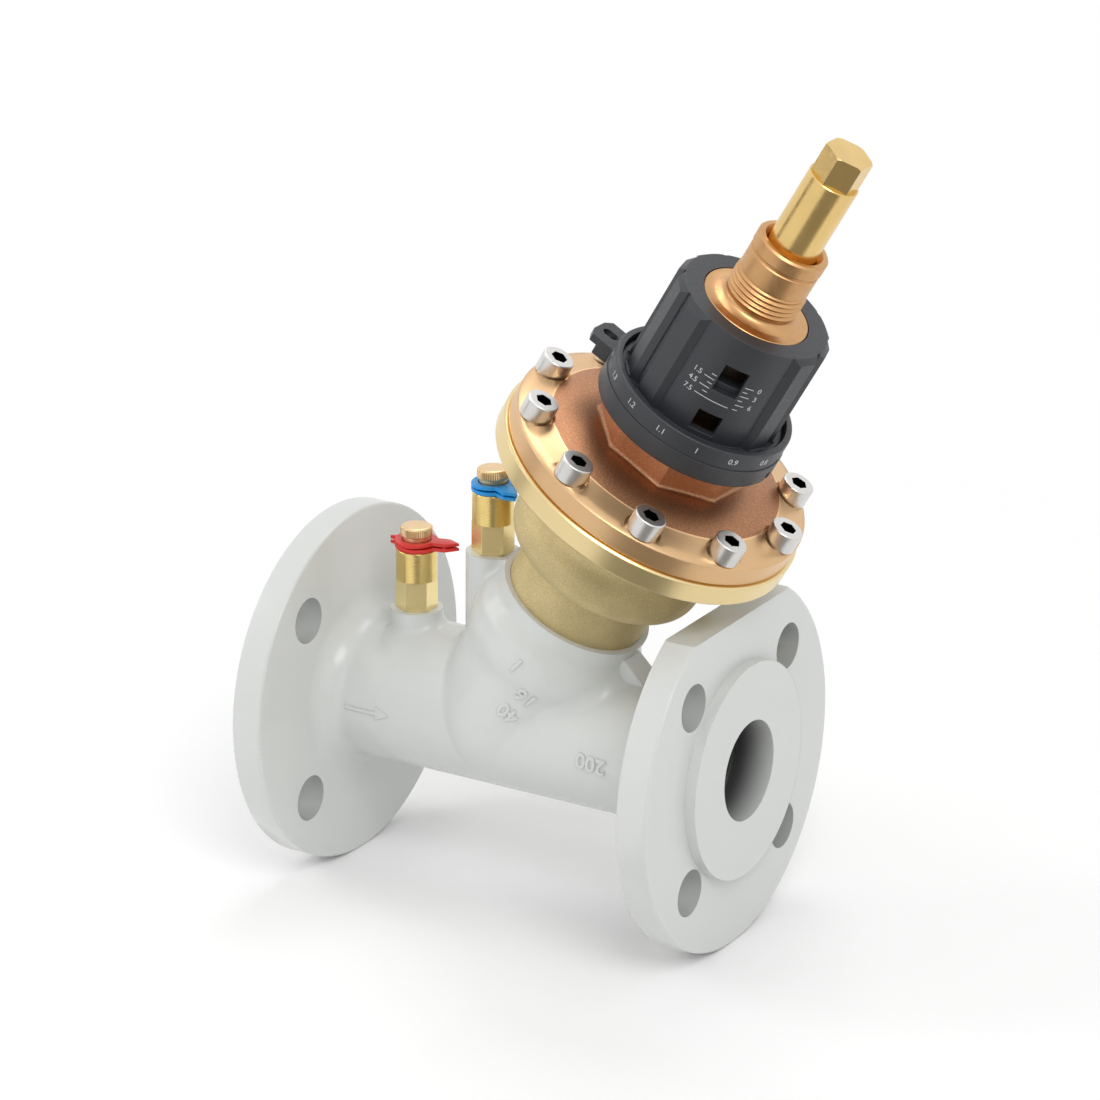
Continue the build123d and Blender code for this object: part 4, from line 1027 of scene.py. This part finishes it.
class VALVE_OT_stage(Operator):
    """Set the white floor, the lamps, the grey cards and the camera"""

    bl_idname = "valve.stage"
    bl_label = "Stage"

    def execute(self, context):
        values = context.scene.valve.stage
        context.scene.view_settings.view_transform = "Standard"
        self.floor(values)
        self.world(context.scene, values)
        self.lamps(values)
        self.cards(values)
        self.camera(context.scene, values)
        return {"FINISHED"}

    @staticmethod
    def shown_white(tree):
        """1 for rays from the camera, and for mirrored or transmitted ones, which see the white studio."""
        path = tree.nodes.new("ShaderNodeLightPath").outputs
        total = path["Is Camera Ray"]
        for name in ("Is Glossy Ray", "Is Transmission Ray"):
            larger = tree.nodes.new("ShaderNodeMath")
            larger.operation = "MAXIMUM"
            tree.links.new(total, larger.inputs[0])
            tree.links.new(path[name], larger.inputs[1])
            total = larger.outputs[0]
        return total

    def floor(self, values):
        """A wide round floor: pale and shadowed near the valve, plain white further out."""
        radius = np.linspace(0.0, FLOOR_R, 10)[:, None]
        angle = np.radians(np.arange(0.0, 360.0, 7.5))
        grid = np.broadcast_arrays(FLOOR_X + radius * np.cos(angle), radius * np.sin(angle), CAD_BOX[0][2])
        mesh = surface_mesh("studio_floor", [(np.stack(grid, axis=-1), False, True)])
        made = Finish("floor_paper", values.floor, 0.9)
        place = made.parts(made.where)
        far = made.ramp(made.length(made.minus(place["X"], FLOOR_X), place["Y"]), *FLOOR_FADE)
        white = made.node("ShaderNodeEmission", {"Color": WHITE, "Strength": 1.0}).outputs[0]
        shaders = {0: made.times(far, self.shown_white(made.tree)), 1: made.shader.outputs[0], 2: white}
        mix = made.node("ShaderNodeMixShader", shaders).outputs[0]
        made.put(made.tree.nodes["Material Output"].inputs["Surface"], mix)
        mesh.materials.append(made.material)
        floor = link_object("studio_floor", mesh)

    def world(self, scene, values):
        """White where it is seen, and an even fill for everything else."""
        world = bpy.data.worlds.new("studio")
        world.use_nodes = True
        scene.world = world
        tree = world.node_tree
        fill, white = tree.nodes["Background"], tree.nodes.new("ShaderNodeBackground")
        for light, strength in ((fill, values.fill), (white, 1.0)):
            light.inputs["Color"].default_value = WHITE
            light.inputs["Strength"].default_value = strength
        mix = tree.nodes.new("ShaderNodeMixShader")
        for index, output in enumerate((self.shown_white(tree), fill.outputs[0], white.outputs[0])):
            tree.links.new(output, mix.inputs[index])
        tree.links.new(mix.outputs[0], tree.nodes["World Output"].inputs["Surface"])

    @staticmethod
    def facing(away):
        """Turn that points a lamp or a card back along the way it was moved from its target."""
        return Vector(away).to_track_quat("Z", "Y").to_matrix().to_4x4()

    def lamps(self, values):
        for name, (away, size, power) in LAMPS.items():
            lamp = bpy.data.lights.new(name, "AREA")
            lamp.size = size
            lamp.energy = power
            place = Vector(values.target) + Vector(away)
            link_object(name, lamp).matrix_world = Matrix.Translation(place) @ self.facing(away)

    def cards(self, values):
        """Grey cards that only mirrored rays see, for darker tones in the metal and the paint."""
        grey = Finish("card_grey", CARD_GREY, 1.0).material
        half = np.array((-0.5, 0.5))
        for name, (away, width, height) in {**STANDING_CARDS, **LYING_CARDS}.items():
            turn = np.eye(3) if name in LYING_CARDS else np.array(self.facing(away).to_3x3())
            u = half[:, None, None] * width * turn[:, 0]
            v = half[None, :, None] * height * turn[:, 1]
            corners = u + v + np.array(values.target) + np.array(away)
            mesh = surface_mesh(name, [(corners, False, False)])
            mesh.materials.append(grey)
            card = link_object(name, mesh)
            for ray in ("camera", "diffuse", "shadow", "transmission"):
                setattr(card, f"visible_{ray}", False)

    def camera(self, scene, values):
        """Camera on a sphere about its target, from its azimuth, elevation and roll."""
        azimuth, elevation = values.azimuth, values.elevation
        back = Vector((math.sin(azimuth) * math.cos(elevation), -math.cos(azimuth) * math.cos(elevation),
                       math.sin(elevation)))
        level = Vector((math.cos(azimuth), math.sin(azimuth), 0.0))
        over = back.cross(level)
        right = level * math.cos(values.roll) + over * math.sin(values.roll)
        up = over * math.cos(values.roll) - level * math.sin(values.roll)
        data = bpy.data.cameras.new("photo_view")
        data.lens = values.lens
        data.sensor_width = 36.0
        camera = link_object("photo_view", data)
        turn = Matrix((right, up, back)).transposed().to_4x4()
        camera.matrix_world = Matrix.Translation(Vector(values.target) + back * values.distance) @ turn
        scene.camera = camera


OPERATORS = (VALVE_OT_nodes, VALVE_OT_neck, VALVE_OT_spring, VALVE_OT_caps, VALVE_OT_straps, VALVE_OT_print,
             VALVE_OT_cast_marks, VALVE_OT_stage)


class VALVE_PT_sidebar(Panel):
    """Lists the steps that dress the valve"""

    bl_idname = "VALVE_PT_sidebar"
    bl_label = "Balancing valve"
    bl_space_type = "VIEW_3D"
    bl_region_type = "UI"
    bl_category = "Valve"

    def draw(self, context):
        for operator in OPERATORS:
            self.layout.operator(operator.bl_idname)


CLASSES = (FinishColours, NeckSizes, SpringSizes, CapSizes, StrapSizes, PrintSizes, StageValues,
           ValveSettings, *OPERATORS, VALVE_PT_sidebar)


def register():
    for item in CLASSES:
        bpy.utils.register_class(item)
    bpy.types.Scene.valve = PointerProperty(type=ValveSettings)


def unregister():
    del bpy.types.Scene.valve
    for item in reversed(CLASSES):
        bpy.utils.unregister_class(item)


def main():
    """Dresses the valve, stage included."""
    register()
    bpy.ops.valve.finish_nodes()
    bpy.ops.valve.actuator_neck()
    bpy.ops.valve.regulator_spring()
    bpy.ops.valve.knurled_caps()
    bpy.ops.valve.folded_straps()
    bpy.ops.valve.dial_print()
    bpy.ops.valve.cast_marks()
    bpy.ops.valve.stage()


if __name__ == "__main__":
    main()
